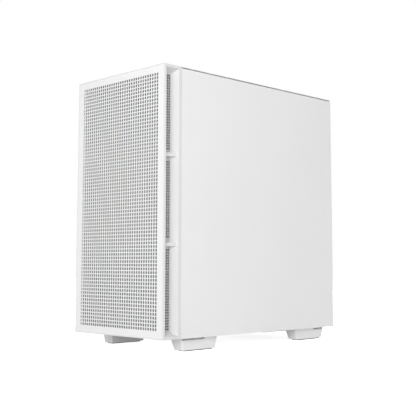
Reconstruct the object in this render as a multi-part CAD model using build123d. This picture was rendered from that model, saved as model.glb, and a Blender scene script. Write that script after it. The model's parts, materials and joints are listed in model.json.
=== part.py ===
"""Desktop computer tower: a white micro-ATX case with its working parts inside.

Millimetres, +Z up, front towards -Y, +X to the right of someone facing the front.
The origin is on the floor, under the middle of the tower.
"""
from build123d import *
import math
import os

# Overall size
CASE_W = 215.0
BODY_D = 410.0
CASE_H = 432.0
FOOT_H = 20.5
STEEL = 1.0
GAP = 0.3
BORE_PLAY = 0.05
ROUNDING = 1e-6

# Front panel
BEZEL_D = 35.4
BEZEL_WALL = 3.0
BEZEL_EDGE_R = 0.6
RIM_T = 4.2
MESH_T = 1.0
MESH_LIP = 1.8
MESH_MARGIN = 14.5
MESH_MARGIN_END = 11.6
MESH_HOLE = 9.9
MESH_PITCH = 16.6
POCKET_DEEP = 13.5
POCKET_END = 29.8
POCKET_FOOT = 24.0
POCKET_EDGE = 4.5
POCKET_SLOPE = 7.5
RIB_SPACING = 135.0
RIB_UP = 1.3
RIB_T = 6.0
RIB_INSET = 3.0
RIB_LEAN = 2.5
RIB_R = 1.6
VENT_T = 1.0
VENT_SLOT_H = 5.0
VENT_PITCH = 9.0
CLOTH_T = 0.6
FILTER_FRAME_T = 2.4
FILTER_RING = 7.0
FILTER_BAYS = 3
SNAP_R = 3.0
SNAP_L = 7.0
SNAP_TIP_R = 1.5
SNAP_INSET = 9.5
SNAP_END = 40.0

# Feet
FOOT_W = 25.5
FOOT_L = 78.0
FOOT_INSET = 11.5
FOOT_FRONT = 47.0
FOOT_BACK = 15.0
FOOT_TAPER = 5.0
FOOT_DRAFT = 0.5
FOOT_R = 2.0
FOOT_STEP_D = 8.0
FOOT_STEP_H = 4.0
FOOT_STEP_L = 48.0
FOOT_STEP_REAR_L = 26.0
FOOT_STEP_END = 2.0
PAD_T = 1.5
PAD_INSET = 1.2
PAD_INNER = 4.0
PAD_END = 4.0

# Side panels
PANEL_SLIDE = 18.0
PANEL_FLANGE = 10.0
FOLD_FRONT = 15.0
REAR_FLANGE = 17.0
ROOF_SHADOW = 1.6
GLASS_T = 3.0
GLASS_LAP = 8.0
WINDOW_FRONT = 18.0
WINDOW_TOP = 20.0
THUMB_R = 5.5
THUMB_L = 6.0
THUMB_EDGE_R = 0.7
THUMB_SHANK_R = 1.75
THUMB_SHANK_L = 10.0
THUMB_END = 40.0
THUMB_INSET = 11.0

# Roof, its filter and the front ports
ROOF_FLANGE = 14.0
ROOF_FLANGE_INSET = 14.0
ROOF_STRIP = 46.0
ROOF_BACK = 14.0
TOP_FILTER_T = 1.6
TOP_RING = 9.0
ROOF_SLOT = (8.0, 62.0)
ROOF_SLOT_PITCH = (13.0, 70.0)
PORT_EDGE = 3.5
PORT_L = 86.0
PORT_W = 18.0
PORT_LAP = 2.5
INSERT_T = 2.5
PORT_BOARD_DROP = 19.0
PCB_T = 1.6
POST_R = 2.5
BUTTON_PROUD = 1.0
BUTTON_CAP = 4.5
BUTTON_EDGE_R = 0.5
POWER_R = 7.0
POWER_AT = 76.0
POWER_TRAVEL = 1.6
RESET_R = 3.0
RESET_AT = 61.5
RESET_TRAVEL = 1.2
STEM_R = 2.0
SWITCH_SIDE = 9.0
SWITCH_H = 8.0
STEM_CLEAR = 0.8
STEM_SUNK = 2.6
JACK_AT = 49.0
JACK_R = 3.4
JACK_BORE_R = 1.8
JACK_BORE_L = 13.0
USB_AT = (33.0, 14.0)
USB_SIZE = (13.2, 5.8)
USB_WALL = 0.5
USB_DEEP = 12.0
TONGUE_T = 1.8
TONGUE_W = 11.2
TONGUE_GAP = 1.0

# Fans
FAN_T = 25.0
FAN_SMALL = 120.0
FAN_SMALL_INSET = 7.5
FAN_LARGE = 140.0
FAN_LARGE_INSET = 7.75
FAN_R = 5.0
FAN_WALL = 2.2
FAN_FLANGE = 4.0
FAN_HOLE_R = 2.15
HUB_R = 20.0
HUB_FRONT = 2.5
HUB_EDGE_R = 2.5
MOTOR_T = 3.5
STRUT_W = 4.0
AXLE_R = 2.5
AXLE_TIP = 7.0
BLADES = 7
BLADE_T = 1.6
BLADE_ROOT = 15.0
BLADE_TIP = 28.0
ROOT_ANGLE = 48.0
TIP_ANGLE = 30.0
TIP_PLAY = 1.0
HUB_PLAY = 0.8
FAN_SCREW_R = 1.9
FAN_SCREW_L = 10.0
SCREW_HEAD_R = 3.6
SCREW_HEAD_T = 1.8

# Main board and what it carries
CABLE_ROOM = 24.0
STANDOFF_L = 6.5
STANDOFF_R = 2.8
BOARD = 244.0
BOARD_BACK = 2.0
BOARD_DROP = 2.25
BOARD_SCREW_AT = (10.0, 122.0, 234.0)
BOARD_SCREW_R = 1.5
BOARD_SCREW_SUNK = 3.2
CASE_SCREW_L = 5.0
PORT_OPEN_W = 44.45
PORT_OPEN_H = 158.75
PORT_OPEN_TOP = 4.0
PORT_OPEN_UNDER = 2.9
SHIELD_T = 0.8
PORT_DEEP = 10.0
PORT_WALL = 1.2
PORT_BODY = 16.0
PORT_PROUD = 0.8
PORT_BLOCKS = (
    (19.0, 15.0, 16.0),
    (39.0, 15.0, 16.0),
    (60.0, 17.0, 7.5),
    (82.0, 16.0, 20.0),
    (103.0, 15.0, 16.0),
)
AUDIO_AT = 134.0
AUDIO_SIZE = (14.0, 30.0)
AUDIO_PITCH = 9.5
AUDIO_JACKS = 3
CPU_BACK = 95.0
CPU_DOWN = 85.0
SOCKET = (46.0, 52.0, 3.5)
CPU_SIZE = (37.5, 37.5, 1.6)
LID_SIZE = (31.0, 31.0, 2.4)
MEMORY_FRONT = 62.0
MEMORY_PITCH = 11.0
MEMORY_COUNT = 2
MEMORY_L = 133.0
MEMORY_H = 34.0
MEMORY_PCB = 1.4
MEMORY_SPREADER = 6.5
MEMORY_SLOT = (7.0, 140.0, 8.0)
MEMORY_SUNK = 5.0
VRM_H = 18.0
VRM_W = 46.0
VRM_TOP_GAP = 5.0
CHIP_AT = (55.0, 60.0)
CHIP_SIDE = 46.0
CHIP_H = 9.0
STICK_W = 22.0
STICK_H = 6.0
GROOVE_W = 3.0
GROOVE_D = 4.0
GROOVE_PITCH = 11.0
CARD_SLOT = (95.0, 7.5, 11.0)
CARD_GROOVE = (89.0, 2.0, 8.0)
CARD_SLOT_BACK = 50.0
POWER_SOCKET = (52.0, 10.0, 12.0)
POWER_SMALL_L = 19.0
POWER_EDGE = 2.0
SLOT_PITCH = 20.32
SLOT_COUNT = 4
SLOT_FIRST = 16.0
SLOT_OPEN = (98.0, 12.0)
SLOT_START = 6.0
COVER_W = 18.4
COVER_LAP = 3.0
COVER_TAB = 12.0

# Processor cooler
BASE_SIZE = (44.0, 48.0, 14.0)
PIPE_R = 3.0
PIPE_AT = (12.0, 14.0)
PIPE_SUNK = 10.0
PIPE_PROUD = 3.0
FIN_T = 0.6
FIN_PITCH = 4.4
FIN_COUNT = 22
FIN_SIZE = (46.0, 120.0)
FIN_START = 14.0

# Power supply and its dust filter
PSU_W = 150.0
PSU_H = 86.0
PSU_L = 140.0
PSU_WALL = 1.0
PSU_SIDE = 4.0
PSU_LIP = 10.0
PSU_VENT_R = 54.0
PSU_VENT_HOLE = 9.0
PSU_VENT_PITCH = 12.5
SHROUD_ROOM = 4.0
SHROUD_SIDE = 16.0
SHROUD_FAN_GAP = 5.0
INLET_AT = (36.0, 60.0)
INLET_FLANGE = (31.0, 24.0)
INLET_BODY = (27.4, 20.4)
INLET_HOLE = (24.6, 16.8)
INLET_DEEP = 16.0
INLET_BACK = 2.0
PIN_SIZE = (2.0, 13.0, 4.0)
PIN_AT = ((-7.0, -1.5), (7.0, -1.5), (0.0, 2.5))
SWITCH_AT = (66.0, 60.0)
ROCKER_R = 8.6
ROCKER_W = 10.4
ROCKER_DROP = 5.0
ROCKER_TILT = 9.0
ROCKER_WALL = 1.3
ROCKER_FLANGE = 1.6
PIVOT_R = 1.2
PIVOT_L = 0.8
UNDER_FILTER_T = 4.2
RAIL_TO_FOOT = 8.2
UNDER_FILTER_L = 136.0
UNDER_FILTER_TAB = (40.0, 5.0)
RAIL_T = 1.5
RAIL_LIP = 4.0
FLOOR_SLOT = (4.0, 48.0)
FLOOR_SLOT_PITCH = (8.0, 56.0)

# Rear fan grille, front fans, tray openings, drive
GRILLE_EDGE = 4.0
GRILLE_HOLE = 8.0
GRILLE_PITCH = 10.5
PORT_TO_FAN = 4.5
REAR_FAN_SIDE = 13.55
FRONT_FAN_TOP = 24.0
FRONT_FAN_STEP = 142.0
TRAY_CPU_CUT = 64.0
TRAY_SLOT = (24.0, 60.0)
TRAY_SLOT_PITCH = 80.0
TRAY_NOTCH = 30.0
DRIVE = (147.0, 101.6, 26.1)
DRIVE_LEDGE = 5.0
DRIVE_UP = 12.0
CAGE_FRONT = 20.0

# Worked out from the sizes above
HALF_W = CASE_W / 2
FRONT_Y = -(BODY_D + THUMB_L) / 2
REAR_Y = FRONT_Y + BODY_D
BASE_Z = FOOT_H
TOP_Z = CASE_H
MID_Z = (BASE_Z + TOP_Z) / 2
SIDE_IN = HALF_W - STEEL - GAP
BACK_Y = REAR_Y - STEEL - GAP
BACK_IN = BACK_Y - STEEL
FRAME_Y = FRONT_Y + BEZEL_D + GAP
FRAME_IN = FRAME_Y + STEEL
FLOOR_Z = BASE_Z + STEEL
PANEL_TOP = TOP_Z - STEEL - ROOF_SHADOW
DECK_TOP = TOP_Z - STEEL - TOP_FILTER_T - GAP
DECK_Z = DECK_TOP - STEEL
FIELD_Y0 = FRAME_Y + ROOF_STRIP
FIELD_Y1 = REAR_Y - ROOF_BACK
FIELD_X = HALF_W - ROOF_FLANGE_INSET - STEEL
CAVITY_X = HALF_W - POCKET_DEEP
TRAY_X = HALF_W - 2 * STEEL - CABLE_ROOM
SOLDER_X = TRAY_X - STANDOFF_L
FACE_X = SOLDER_X - PCB_T
BOARD_Y1 = BACK_IN - BOARD_BACK
BOARD_Y0 = BOARD_Y1 - BOARD
SHROUD_Z = FLOOR_Z + PSU_H + SHROUD_ROOM
BOARD_ZC = (SHROUD_Z + STEEL + TOP_Z) / 2 - BOARD_DROP
BOARD_Z0 = BOARD_ZC - BOARD / 2
BOARD_Z1 = BOARD_ZC + BOARD / 2
CPU_Y = BOARD_Y1 - CPU_BACK
CPU_Z = BOARD_Z1 - CPU_DOWN
CPU_X = FACE_X - SOCKET[2] - CPU_SIZE[2] - LID_SIZE[2]
OPEN_X1 = FACE_X + PORT_OPEN_UNDER
OPEN_X0 = OPEN_X1 - PORT_OPEN_W
OPEN_Z1 = BOARD_Z1 - PORT_OPEN_TOP
OPEN_Z0 = OPEN_Z1 - PORT_OPEN_H
SLOT_Z = [OPEN_Z0 - SLOT_FIRST - SLOT_PITCH * i for i in range(SLOT_COUNT)]
SLOT_X1 = FACE_X - SLOT_START
SLOT_X0 = SLOT_X1 - SLOT_OPEN[0]
REAR_FAN_X0 = -SIDE_IN + REAR_FAN_SIDE
REAR_FAN_X1 = OPEN_X0 - PORT_TO_FAN
REAR_FAN = REAR_FAN_X1 - REAR_FAN_X0
REAR_FAN_X = (REAR_FAN_X0 + REAR_FAN_X1) / 2
REAR_FAN_Z = OPEN_Z1 - REAR_FAN / 2
FRONT_FAN_Z = [TOP_Z - FRONT_FAN_TOP - FAN_LARGE / 2 - FRONT_FAN_STEP * i for i in range(2)]
PSU_X1 = TRAY_X - PSU_SIDE
PSU_X0 = PSU_X1 - PSU_W
PSU_XC = (PSU_X0 + PSU_X1) / 2
PSU_Y0 = BACK_IN - PSU_L
PSU_YC = BACK_IN - PSU_L / 2
SHROUD_Y0 = FRAME_IN + FAN_T + SHROUD_FAN_GAP
SHROUD_X = -(HALF_W - SHROUD_SIDE)
FIN_X1 = CPU_X - BASE_SIZE[2] - FIN_START
FIN_XS = [FIN_X1 - FIN_PITCH * i for i in range(FIN_COUNT)]
COOLER_FAN_Y = CPU_Y - FIN_SIZE[0] / 2 - GAP - FAN_T
COOLER_FAN_X = (FIN_XS[0] + FIN_XS[-1]) / 2
PORT_X0 = FIELD_X - PORT_EDGE - PORT_L
PORT_Y = FRAME_Y + ROOF_STRIP / 2
PORT_BOARD_Z = TOP_Z - PORT_BOARD_DROP
SWITCH_BORE = STEM_SUNK + max(POWER_TRAVEL, RESET_TRAVEL) + STEM_CLEAR
INSERT_Z = TOP_Z - STEEL - INSERT_T
UNDER_FILTER_Z1 = BASE_Z - GAP
UNDER_FILTER_Z0 = UNDER_FILTER_Z1 - UNDER_FILTER_T
UNDER_FILTER_Y1 = BACK_Y
FOOT_IN = HALF_W - FOOT_INSET - FOOT_W
UNDER_FILTER_W = 2 * (FOOT_IN - RAIL_TO_FOOT - RAIL_T - GAP - abs(PSU_XC))
INLET_X = PSU_X0 + INLET_AT[0]
INLET_Z = FLOOR_Z + INLET_AT[1]
ROCKER_X = PSU_X0 + SWITCH_AT[0]
ROCKER_Z = FLOOR_Z + SWITCH_AT[1]
ROCKER_Y = BACK_Y - ROCKER_DROP
THUMB_X = HALF_W - THUMB_INSET
THUMB_ZS = (BASE_Z + THUMB_END, PANEL_TOP - THUMB_END)
RIB_ZS = [MID_Z + RIB_UP + side * RIB_SPACING / 2 for side in (-1, 1)]
SNAP_X = HALF_W - SNAP_INSET
SNAP_ZS = (BASE_Z + SNAP_END, MID_Z, TOP_Z - SNAP_END)
CAGE_Y0 = FRAME_IN + CAGE_FRONT
CAGE_Y1 = CAGE_Y0 + DRIVE[1] + 2 * (GAP + STEEL)
DRIVE_X1 = TRAY_X - PSU_SIDE
DRIVE_X0 = DRIVE_X1 - DRIVE[0]


def block(xs, ys, zs):
    """A box between two limits along each axis."""
    spans = (xs, ys, zs)
    size = [hi - lo for lo, hi in spans]
    middle = [(hi + lo) / 2 for lo, hi in spans]
    return Pos(*middle) * Box(*size)


def around(centre, size):
    """The two limits of a span of some size about its centre."""
    return (centre - size / 2, centre + size / 2)


def rod(start, direction, radius, length):
    """A cylinder that runs from a point along a direction."""
    return Solid.make_cylinder(radius, length, Plane(origin=start, z_dir=direction))


def rect(us, vs):
    """A closed rectangle in a sheet's own plane."""
    (u0, u1), (v0, v1) = us, vs
    return Wire.make_polygon([(u0, v0), (u1, v0), (u1, v1), (u0, v1)])


def disc(u, v, radius):
    """A circle in a sheet's own plane."""
    return Wire.make_circle(radius, Plane((u, v, 0)))


def facing_front(y_rear):
    """Plane of an upright sheet across the tower; the sheet grows forward from its rear face."""
    return Plane(origin=(0, y_rear, 0), x_dir=(1, 0, 0), z_dir=(0, -1, 0))


def facing_side(x_low):
    """Plane of an upright sheet along the tower; the sheet grows towards +X."""
    return Plane(origin=(x_low, 0, 0), x_dir=(0, 1, 0), z_dir=(1, 0, 0))


def level(z_low):
    """Plane of a flat deck; the sheet grows upwards."""
    return Plane(origin=(0, 0, z_low))


def sheet(plane, outline, holes, thickness):
    """A flat sheet with holes, drawn in a plane and given a thickness."""
    return plane.location * Solid.extrude(Face(outline, holes), Vector(0, 0, thickness))


def hole_field(us, vs, size, pitch, keep=None):
    """Rectangular holes on a regular grid, centred in a field."""
    counts = [int((hi - lo - s) / p + ROUNDING) + 1 for (lo, hi), s, p in zip((us, vs), size, pitch)]
    middle = [(lo + hi) / 2 for lo, hi in (us, vs)]
    holes = []
    for i in range(counts[0]):
        for j in range(counts[1]):
            u = middle[0] + (i - (counts[0] - 1) / 2) * pitch[0]
            v = middle[1] + (j - (counts[1] - 1) / 2) * pitch[1]
            if keep is None or keep(u, v):
                holes.append(rect(around(u, size[0]), around(v, size[1])))
    return holes


def round_field(u, v, radius, hole, pitch):
    """Square holes on a grid inside a circle."""
    reach = radius - hole / math.sqrt(2)
    span_u = around(u, 2 * radius)
    span_v = around(v, 2 * radius)

    def inside(a, b):
        return math.hypot(a - u, b - v) <= reach

    return hole_field(span_u, span_v, (hole, hole), (pitch, pitch), inside)


def square_corners(pitch):
    """The four corners of a square of some side about the origin."""
    return [(sx * pitch / 2, sy * pitch / 2) for sx in (-1, 1) for sy in (-1, 1)]


def both_sides(shape):
    """A shape and its mirror image across the tower's middle plane."""
    return [shape, mirror(shape, about=Plane.YZ)]


# Front panel


def front_mesh():
    """Perforated sheet that covers the whole front, set flush in the bezel."""
    half = HALF_W - MESH_LIP - GAP
    zs = (BASE_Z + MESH_LIP + GAP, TOP_Z - MESH_LIP - GAP)
    field_x = (-HALF_W + MESH_MARGIN, HALF_W - MESH_MARGIN)
    field_z = (BASE_Z + MESH_MARGIN_END, TOP_Z - MESH_MARGIN_END)
    holes = hole_field(field_x, field_z, (MESH_HOLE, MESH_HOLE), (MESH_PITCH, MESH_PITCH))
    return sheet(facing_front(FRONT_Y + MESH_T), rect((-half, half), zs), holes, MESH_T)


def pocket():
    """Air gap in the right side of the bezel, wider outside than inside."""
    y0 = FRONT_Y + RIM_T
    outer = ((y0, FRONT_Y + POCKET_END), (BASE_Z + POCKET_EDGE, TOP_Z - POCKET_EDGE))
    inset = POCKET_EDGE + POCKET_SLOPE
    inner = ((y0, FRONT_Y + POCKET_FOOT), (BASE_Z + inset, TOP_Z - inset))
    wires = [facing_side(x).location * rect(*span) for x, span in ((HALF_W, outer), (CAVITY_X, inner))]
    return Solid.make_loft(wires, ruled=True)


def pocket_rib(z):
    """Short bar across the air gap, leaning slightly towards the front."""
    y0 = FRONT_Y + RIM_T
    y1 = FRONT_Y + POCKET_END
    outer = HALF_W - RIB_INSET
    points = [(CAVITY_X, y0), (outer - RIB_LEAN, y0), (outer, y1), (CAVITY_X, y1)]
    bar = extrude(level(z - RIB_T / 2).location * Face(Wire.make_polygon(points)), RIB_T, dir=(0, 0, 1))
    edges = bar.faces().sort_by(Axis.X)[-1].edges().group_by(Axis.Z)
    return fillet(edges[0] + edges[-1], RIB_R)


def front_bezel():
    """Moulded frame of the front panel, with an air gap in each side."""
    y1 = FRONT_Y + BEZEL_D
    shell = block((-HALF_W, HALF_W), (FRONT_Y, y1), (BASE_Z, TOP_Z))
    outer_edges = shell.faces().sort_by(Axis.Y)[0].edges() + shell.edges().filter_by(Axis.Y)
    shell = fillet(outer_edges, BEZEL_EDGE_R)
    lip = HALF_W - MESH_LIP
    shell -= block((-lip, lip), (FRONT_Y, FRONT_Y + MESH_T), (BASE_Z + MESH_LIP, TOP_Z - MESH_LIP))
    open_x = HALF_W - MESH_MARGIN + GAP
    open_z = (BASE_Z + MESH_MARGIN_END - GAP, TOP_Z - MESH_MARGIN_END + GAP)
    shell -= block((-open_x, open_x), (FRONT_Y, y1), open_z)
    cavity_z = (BASE_Z + BEZEL_WALL, TOP_Z - BEZEL_WALL)
    shell -= block((-CAVITY_X, CAVITY_X), (FRONT_Y + RIM_T, y1), cavity_z)
    for cut in both_sides(pocket()):
        shell -= cut
    for z in RIB_ZS:
        for rib in both_sides(pocket_rib(z)):
            shell += rib
    return shell


def front_snaps():
    """Push studs behind the bezel that hold the front panel in the steel wall."""
    studs = []
    for x in (-SNAP_X, SNAP_X):
        for z in SNAP_ZS:
            stud = rod((x, FRONT_Y + BEZEL_D, z), (0, 1, 0), SNAP_R, SNAP_L)
            tip = stud.edges().filter_by(GeomType.CIRCLE).group_by(Axis.Y)[-1]
            studs.append(fillet(tip, SNAP_TIP_R).solid())
    return Compound(studs)


def side_vent(x_low):
    """Perforated strip that closes an air gap from the inside."""
    inset = POCKET_EDGE + POCKET_SLOPE
    ys = (FRONT_Y + RIM_T, FRONT_Y + POCKET_END)
    zs = (BASE_Z + inset - BEZEL_WALL, TOP_Z - inset + BEZEL_WALL)
    field_y = (FRONT_Y + RIM_T + 2 * VENT_T, FRONT_Y + POCKET_FOOT - VENT_T)
    slot = (field_y[1] - field_y[0], VENT_SLOT_H)
    slots = hole_field(field_y, (BASE_Z + inset, TOP_Z - inset), slot, (slot[0], VENT_PITCH))
    return sheet(facing_side(x_low), rect(ys, zs), slots, VENT_T)


def side_vents():
    """The two strips, left and right."""
    return Compound([side_vent(CAVITY_X - VENT_T), side_vent(-CAVITY_X)])


def front_filter_cloth():
    """Fine dust cloth behind the perforated front."""
    half = CAVITY_X - VENT_T - GAP
    ys = (FRONT_Y + RIM_T, FRONT_Y + RIM_T + CLOTH_T)
    return block((-half, half), ys, (BASE_Z + BEZEL_WALL + GAP, TOP_Z - BEZEL_WALL - GAP))


def front_filter_frame():
    """Moulded frame with two cross bars that keeps the dust cloth flat."""
    half = CAVITY_X - VENT_T - GAP
    zs = (BASE_Z + BEZEL_WALL + GAP, TOP_Z - BEZEL_WALL - GAP)
    inner = half - FILTER_RING
    step = (zs[1] - zs[0] - FILTER_RING) / FILTER_BAYS
    bays = [zs[0] + FILTER_RING + i * step for i in range(FILTER_BAYS)]
    holes = [rect((-inner, inner), (z, z + step - FILTER_RING)) for z in bays]
    y_rear = FRONT_Y + RIM_T + CLOTH_T + FILTER_FRAME_T
    return sheet(facing_front(y_rear), rect((-half, half), zs), holes, FILTER_FRAME_T)


# Chassis


def front_frame():
    """Steel wall behind the front panel, with two fan openings."""
    holes = []
    for z in FRONT_FAN_Z:
        holes.append(disc(0, z, FAN_LARGE / 2 - FAN_WALL))
        holes += [disc(x, z + dz, FAN_HOLE_R) for x, dz in square_corners(FAN_LARGE - 2 * FAN_LARGE_INSET)]
    holes += [disc(x, z, SNAP_R + GAP) for x in (-SNAP_X, SNAP_X) for z in SNAP_ZS]
    outline = rect((-SIDE_IN, SIDE_IN), (FLOOR_Z, TOP_Z - STEEL))
    return sheet(facing_front(FRAME_IN), outline, holes, STEEL)


def floor_pan():
    """Steel floor with a slotted intake under the power supply and two filter rails."""
    field_x = around(PSU_XC, 2 * PSU_VENT_R)
    field_y = around(PSU_YC, 2 * PSU_VENT_R)
    slots = hole_field(field_x, field_y, FLOOR_SLOT, FLOOR_SLOT_PITCH)
    pan = sheet(level(BASE_Z), rect((-SIDE_IN, SIDE_IN), (FRAME_Y, BACK_Y)), slots, STEEL)
    ys = (UNDER_FILTER_Y1 - UNDER_FILTER_L, UNDER_FILTER_Y1)
    low = UNDER_FILTER_Z0 - GAP - RAIL_T
    for side in (-1, 1):
        wall = PSU_XC + side * (UNDER_FILTER_W / 2 + GAP)
        outer = wall + side * RAIL_T
        inner = wall - side * RAIL_LIP
        pan += block(sorted((wall, outer)), ys, (low, BASE_Z))
        pan += block(sorted((inner, outer)), ys, (low, low + RAIL_T))
    return pan


def rear_panel():
    """Steel back with fan grille, port opening, card slots and power supply opening."""
    grille_r = REAR_FAN / 2 - GRILLE_EDGE
    holes = round_field(REAR_FAN_X, REAR_FAN_Z, grille_r, GRILLE_HOLE, GRILLE_PITCH)
    for x, z in square_corners(REAR_FAN - 2 * FAN_SMALL_INSET):
        holes.append(disc(REAR_FAN_X + x, REAR_FAN_Z + z, FAN_HOLE_R))
    holes.append(rect((OPEN_X0, OPEN_X1), (OPEN_Z0, OPEN_Z1)))
    for z in SLOT_Z:
        holes.append(rect((SLOT_X0, SLOT_X1), around(z, SLOT_OPEN[1])))
        holes.append(disc(SLOT_X0 - COVER_TAB / 2, z, FAN_HOLE_R))
    psu_x = (PSU_X0 + PSU_LIP, PSU_X1 - PSU_LIP)
    holes.append(rect(psu_x, (FLOOR_Z + PSU_LIP, FLOOR_Z + PSU_H - PSU_LIP)))
    holes += [disc(x, z, FAN_HOLE_R) for x, z in psu_screw_places()]
    holes += [disc(x, z, THUMB_SHANK_R + GAP) for x in (-THUMB_X, THUMB_X) for z in THUMB_ZS]
    outline = rect((-SIDE_IN, SIDE_IN), (FLOOR_Z, TOP_Z - STEEL))
    return sheet(facing_front(BACK_Y), outline, holes, STEEL)


def roof_panel():
    """Steel roof with a sunk, slotted field for the filter and an opening for the ports."""
    ports = rect((PORT_X0, PORT_X0 + PORT_L), around(PORT_Y, PORT_W))
    field = rect((-FIELD_X, FIELD_X), (FIELD_Y0, FIELD_Y1))
    roof = sheet(level(TOP_Z - STEEL), rect((-HALF_W, HALF_W), (FRAME_Y, REAR_Y)), [ports, field], STEEL)
    slot_y = (FIELD_Y0 + TOP_RING, FIELD_Y1 - TOP_RING)
    slots = hole_field((-FIELD_X + TOP_RING, FIELD_X - TOP_RING), slot_y, ROOF_SLOT, ROOF_SLOT_PITCH)
    edge = FIELD_X + STEEL
    deck_y = (FIELD_Y0 - STEEL, FIELD_Y1 + STEEL)
    roof += sheet(level(DECK_Z), rect((-edge, edge), deck_y), slots, STEEL)
    for y in (FIELD_Y0 - STEEL, FIELD_Y1):
        roof += block((-edge, edge), (y, y + STEEL), (DECK_Z, TOP_Z - STEEL))
    for side in (-1, 1):
        xs = sorted((side * FIELD_X, side * edge))
        roof += block(xs, (FRAME_IN, BACK_IN), (TOP_Z - STEEL - ROOF_FLANGE, TOP_Z - STEEL))
    return roof


def motherboard_tray():
    """Steel wall that carries the main board, with openings for the cooler and for cables."""
    holes = [rect(around(CPU_Y, TRAY_CPU_CUT), around(CPU_Z, TRAY_CPU_CUT))]
    slot_y = around((BOARD_Y0 + FRAME_IN + FAN_T) / 2, TRAY_SLOT[0])
    holes += [rect(slot_y, around(MID_Z + i * TRAY_SLOT_PITCH, TRAY_SLOT[1])) for i in (-1, 0, 1)]
    points = [(FRAME_IN, FLOOR_Z), (BACK_IN, FLOOR_Z), (BACK_IN, DECK_Z), (FIELD_Y0, DECK_Z)]
    points += [(FIELD_Y0, TOP_Z - TRAY_NOTCH), (FRAME_IN, TOP_Z - TRAY_NOTCH)]
    return sheet(facing_side(TRAY_X), Wire.make_polygon(points), holes, STEEL)


def psu_shroud():
    """Folded steel cover over the power supply and the drive."""
    ys = (SHROUD_Y0, BACK_IN)
    field_x = around(PSU_XC, 2 * PSU_VENT_R)
    field_y = around(PSU_YC, 2 * PSU_VENT_R)
    slots = hole_field(field_x, field_y, FLOOR_SLOT, FLOOR_SLOT_PITCH)
    top = sheet(level(SHROUD_Z), rect((SHROUD_X, TRAY_X), ys), slots, STEEL)
    return top + block((SHROUD_X, SHROUD_X + STEEL), ys, (FLOOR_Z, SHROUD_Z))


def foot_places():
    """Middle of each foot, seen from above."""
    x = FOOT_IN + FOOT_W / 2
    ys = (FRONT_Y + FOOT_FRONT + FOOT_L / 2, REAR_Y - FOOT_BACK - FOOT_L / 2)
    return [(sx * x, y) for sx in (-1, 1) for y in ys]


def sole(x, y, z, outer=0.0, inner=0.0, end=0.0):
    """Outline of a foot's underside at a height, drawn in at its outer side, inner side and ends."""
    shift = (FOOT_TAPER - FOOT_DRAFT + inner - outer) / 2
    width = FOOT_W - FOOT_TAPER - FOOT_DRAFT - outer - inner
    length = FOOT_L - 2 * FOOT_TAPER - 2 * end
    return Pos(x + shift * math.copysign(1, x), y, z) * RectangleRounded(width, length, FOOT_R)


def foot(x, y):
    """Moulded block, upright outside, with a shadow gap along part of its upper outer edge."""
    wide = Pos(x, y, BASE_Z) * RectangleRounded(FOOT_W, FOOT_L, FOOT_R)
    body = loft([sole(x, y, PAD_T), wide], ruled=True)
    xs = sorted(math.copysign(FOOT_W / 2 - reach, x) + x for reach in (0, FOOT_STEP_D))
    end = y + math.copysign(FOOT_L / 2 - FOOT_STEP_END, y)
    other = end - FOOT_STEP_REAR_L if y > 0 else end + FOOT_STEP_L
    return (body - block(xs, sorted((end, other)), (BASE_Z - FOOT_STEP_H, BASE_Z))).solid()


def feet():
    """Four moulded blocks that taper downwards."""
    return Compound([foot(x, y) for x, y in foot_places()])


def foot_pads():
    """Rubber pads under the feet."""
    outlines = [sole(x, y, 0, PAD_INSET, PAD_INNER, PAD_END) for x, y in foot_places()]
    return Compound([extrude(outline, PAD_T).solid() for outline in outlines])


# Side panels


def panel_shell(window):
    """Right side panel: a sheet with its folded top, bottom and rear edges."""
    ys = (FRAME_Y, REAR_Y)
    skin = sheet(facing_side(HALF_W - STEEL), rect(ys, (BASE_Z, PANEL_TOP)), window, STEEL)
    fold_y = (FRAME_IN + FOLD_FRONT, BACK_IN - PANEL_SLIDE - STEEL)
    fold_x = (HALF_W - STEEL - PANEL_FLANGE, HALF_W - STEEL)
    skin += block(fold_x, fold_y, (PANEL_TOP - STEEL, PANEL_TOP))
    skin += block(fold_x, fold_y, (FLOOR_Z + GAP, FLOOR_Z + GAP + STEEL))
    flange = sheet(
        facing_front(REAR_Y),
        rect((HALF_W - REAR_FLANGE, HALF_W), (BASE_Z, PANEL_TOP)),
        [disc(THUMB_X, z, THUMB_SHANK_R + GAP / 2) for z in THUMB_ZS],
        STEEL,
    )
    return skin + flange


def window_span():
    """Limits of the window in the left panel, along the tower and upwards."""
    ys = (FRAME_Y + WINDOW_FRONT, BACK_IN - PANEL_SLIDE - GLASS_LAP - 2 * STEEL)
    return ys, (SHROUD_Z + WINDOW_TOP, PANEL_TOP - WINDOW_TOP)


def left_panel():
    """Left side panel with a window."""
    return mirror(panel_shell([rect(*window_span())]), about=Plane.YZ)


def left_glass():
    """Clear pane behind the window's edge."""
    (y0, y1), (z0, z1) = window_span()
    xs = (-HALF_W + STEEL, -HALF_W + STEEL + GLASS_T)
    return block(xs, (y0 - GLASS_LAP, y1 + GLASS_LAP), (z0 - GLASS_LAP, z1 + GLASS_LAP))


def panel_screws(side):
    """Two captive thumbscrews in a side panel's rear edge."""
    screws = []
    for z in THUMB_ZS:
        head = rod((side * THUMB_X, REAR_Y, z), (0, 1, 0), THUMB_R, THUMB_L)
        head = fillet(head.edges().filter_by(GeomType.CIRCLE), THUMB_EDGE_R)
        screws.append(head + rod((side * THUMB_X, REAR_Y, z), (0, -1, 0), THUMB_SHANK_R, THUMB_SHANK_L))
    return Compound([s.solid() for s in screws])


# Filters that come off


def top_filter_frame():
    """Flexible magnetic rim of the roof filter."""
    half = FIELD_X - GAP
    ys = (FIELD_Y0 + GAP, FIELD_Y1 - GAP)
    hole = rect((-half + TOP_RING, half - TOP_RING), (ys[0] + TOP_RING, ys[1] - TOP_RING))
    return sheet(level(DECK_TOP + GAP), rect((-half, half), ys), [hole], TOP_FILTER_T)


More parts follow.
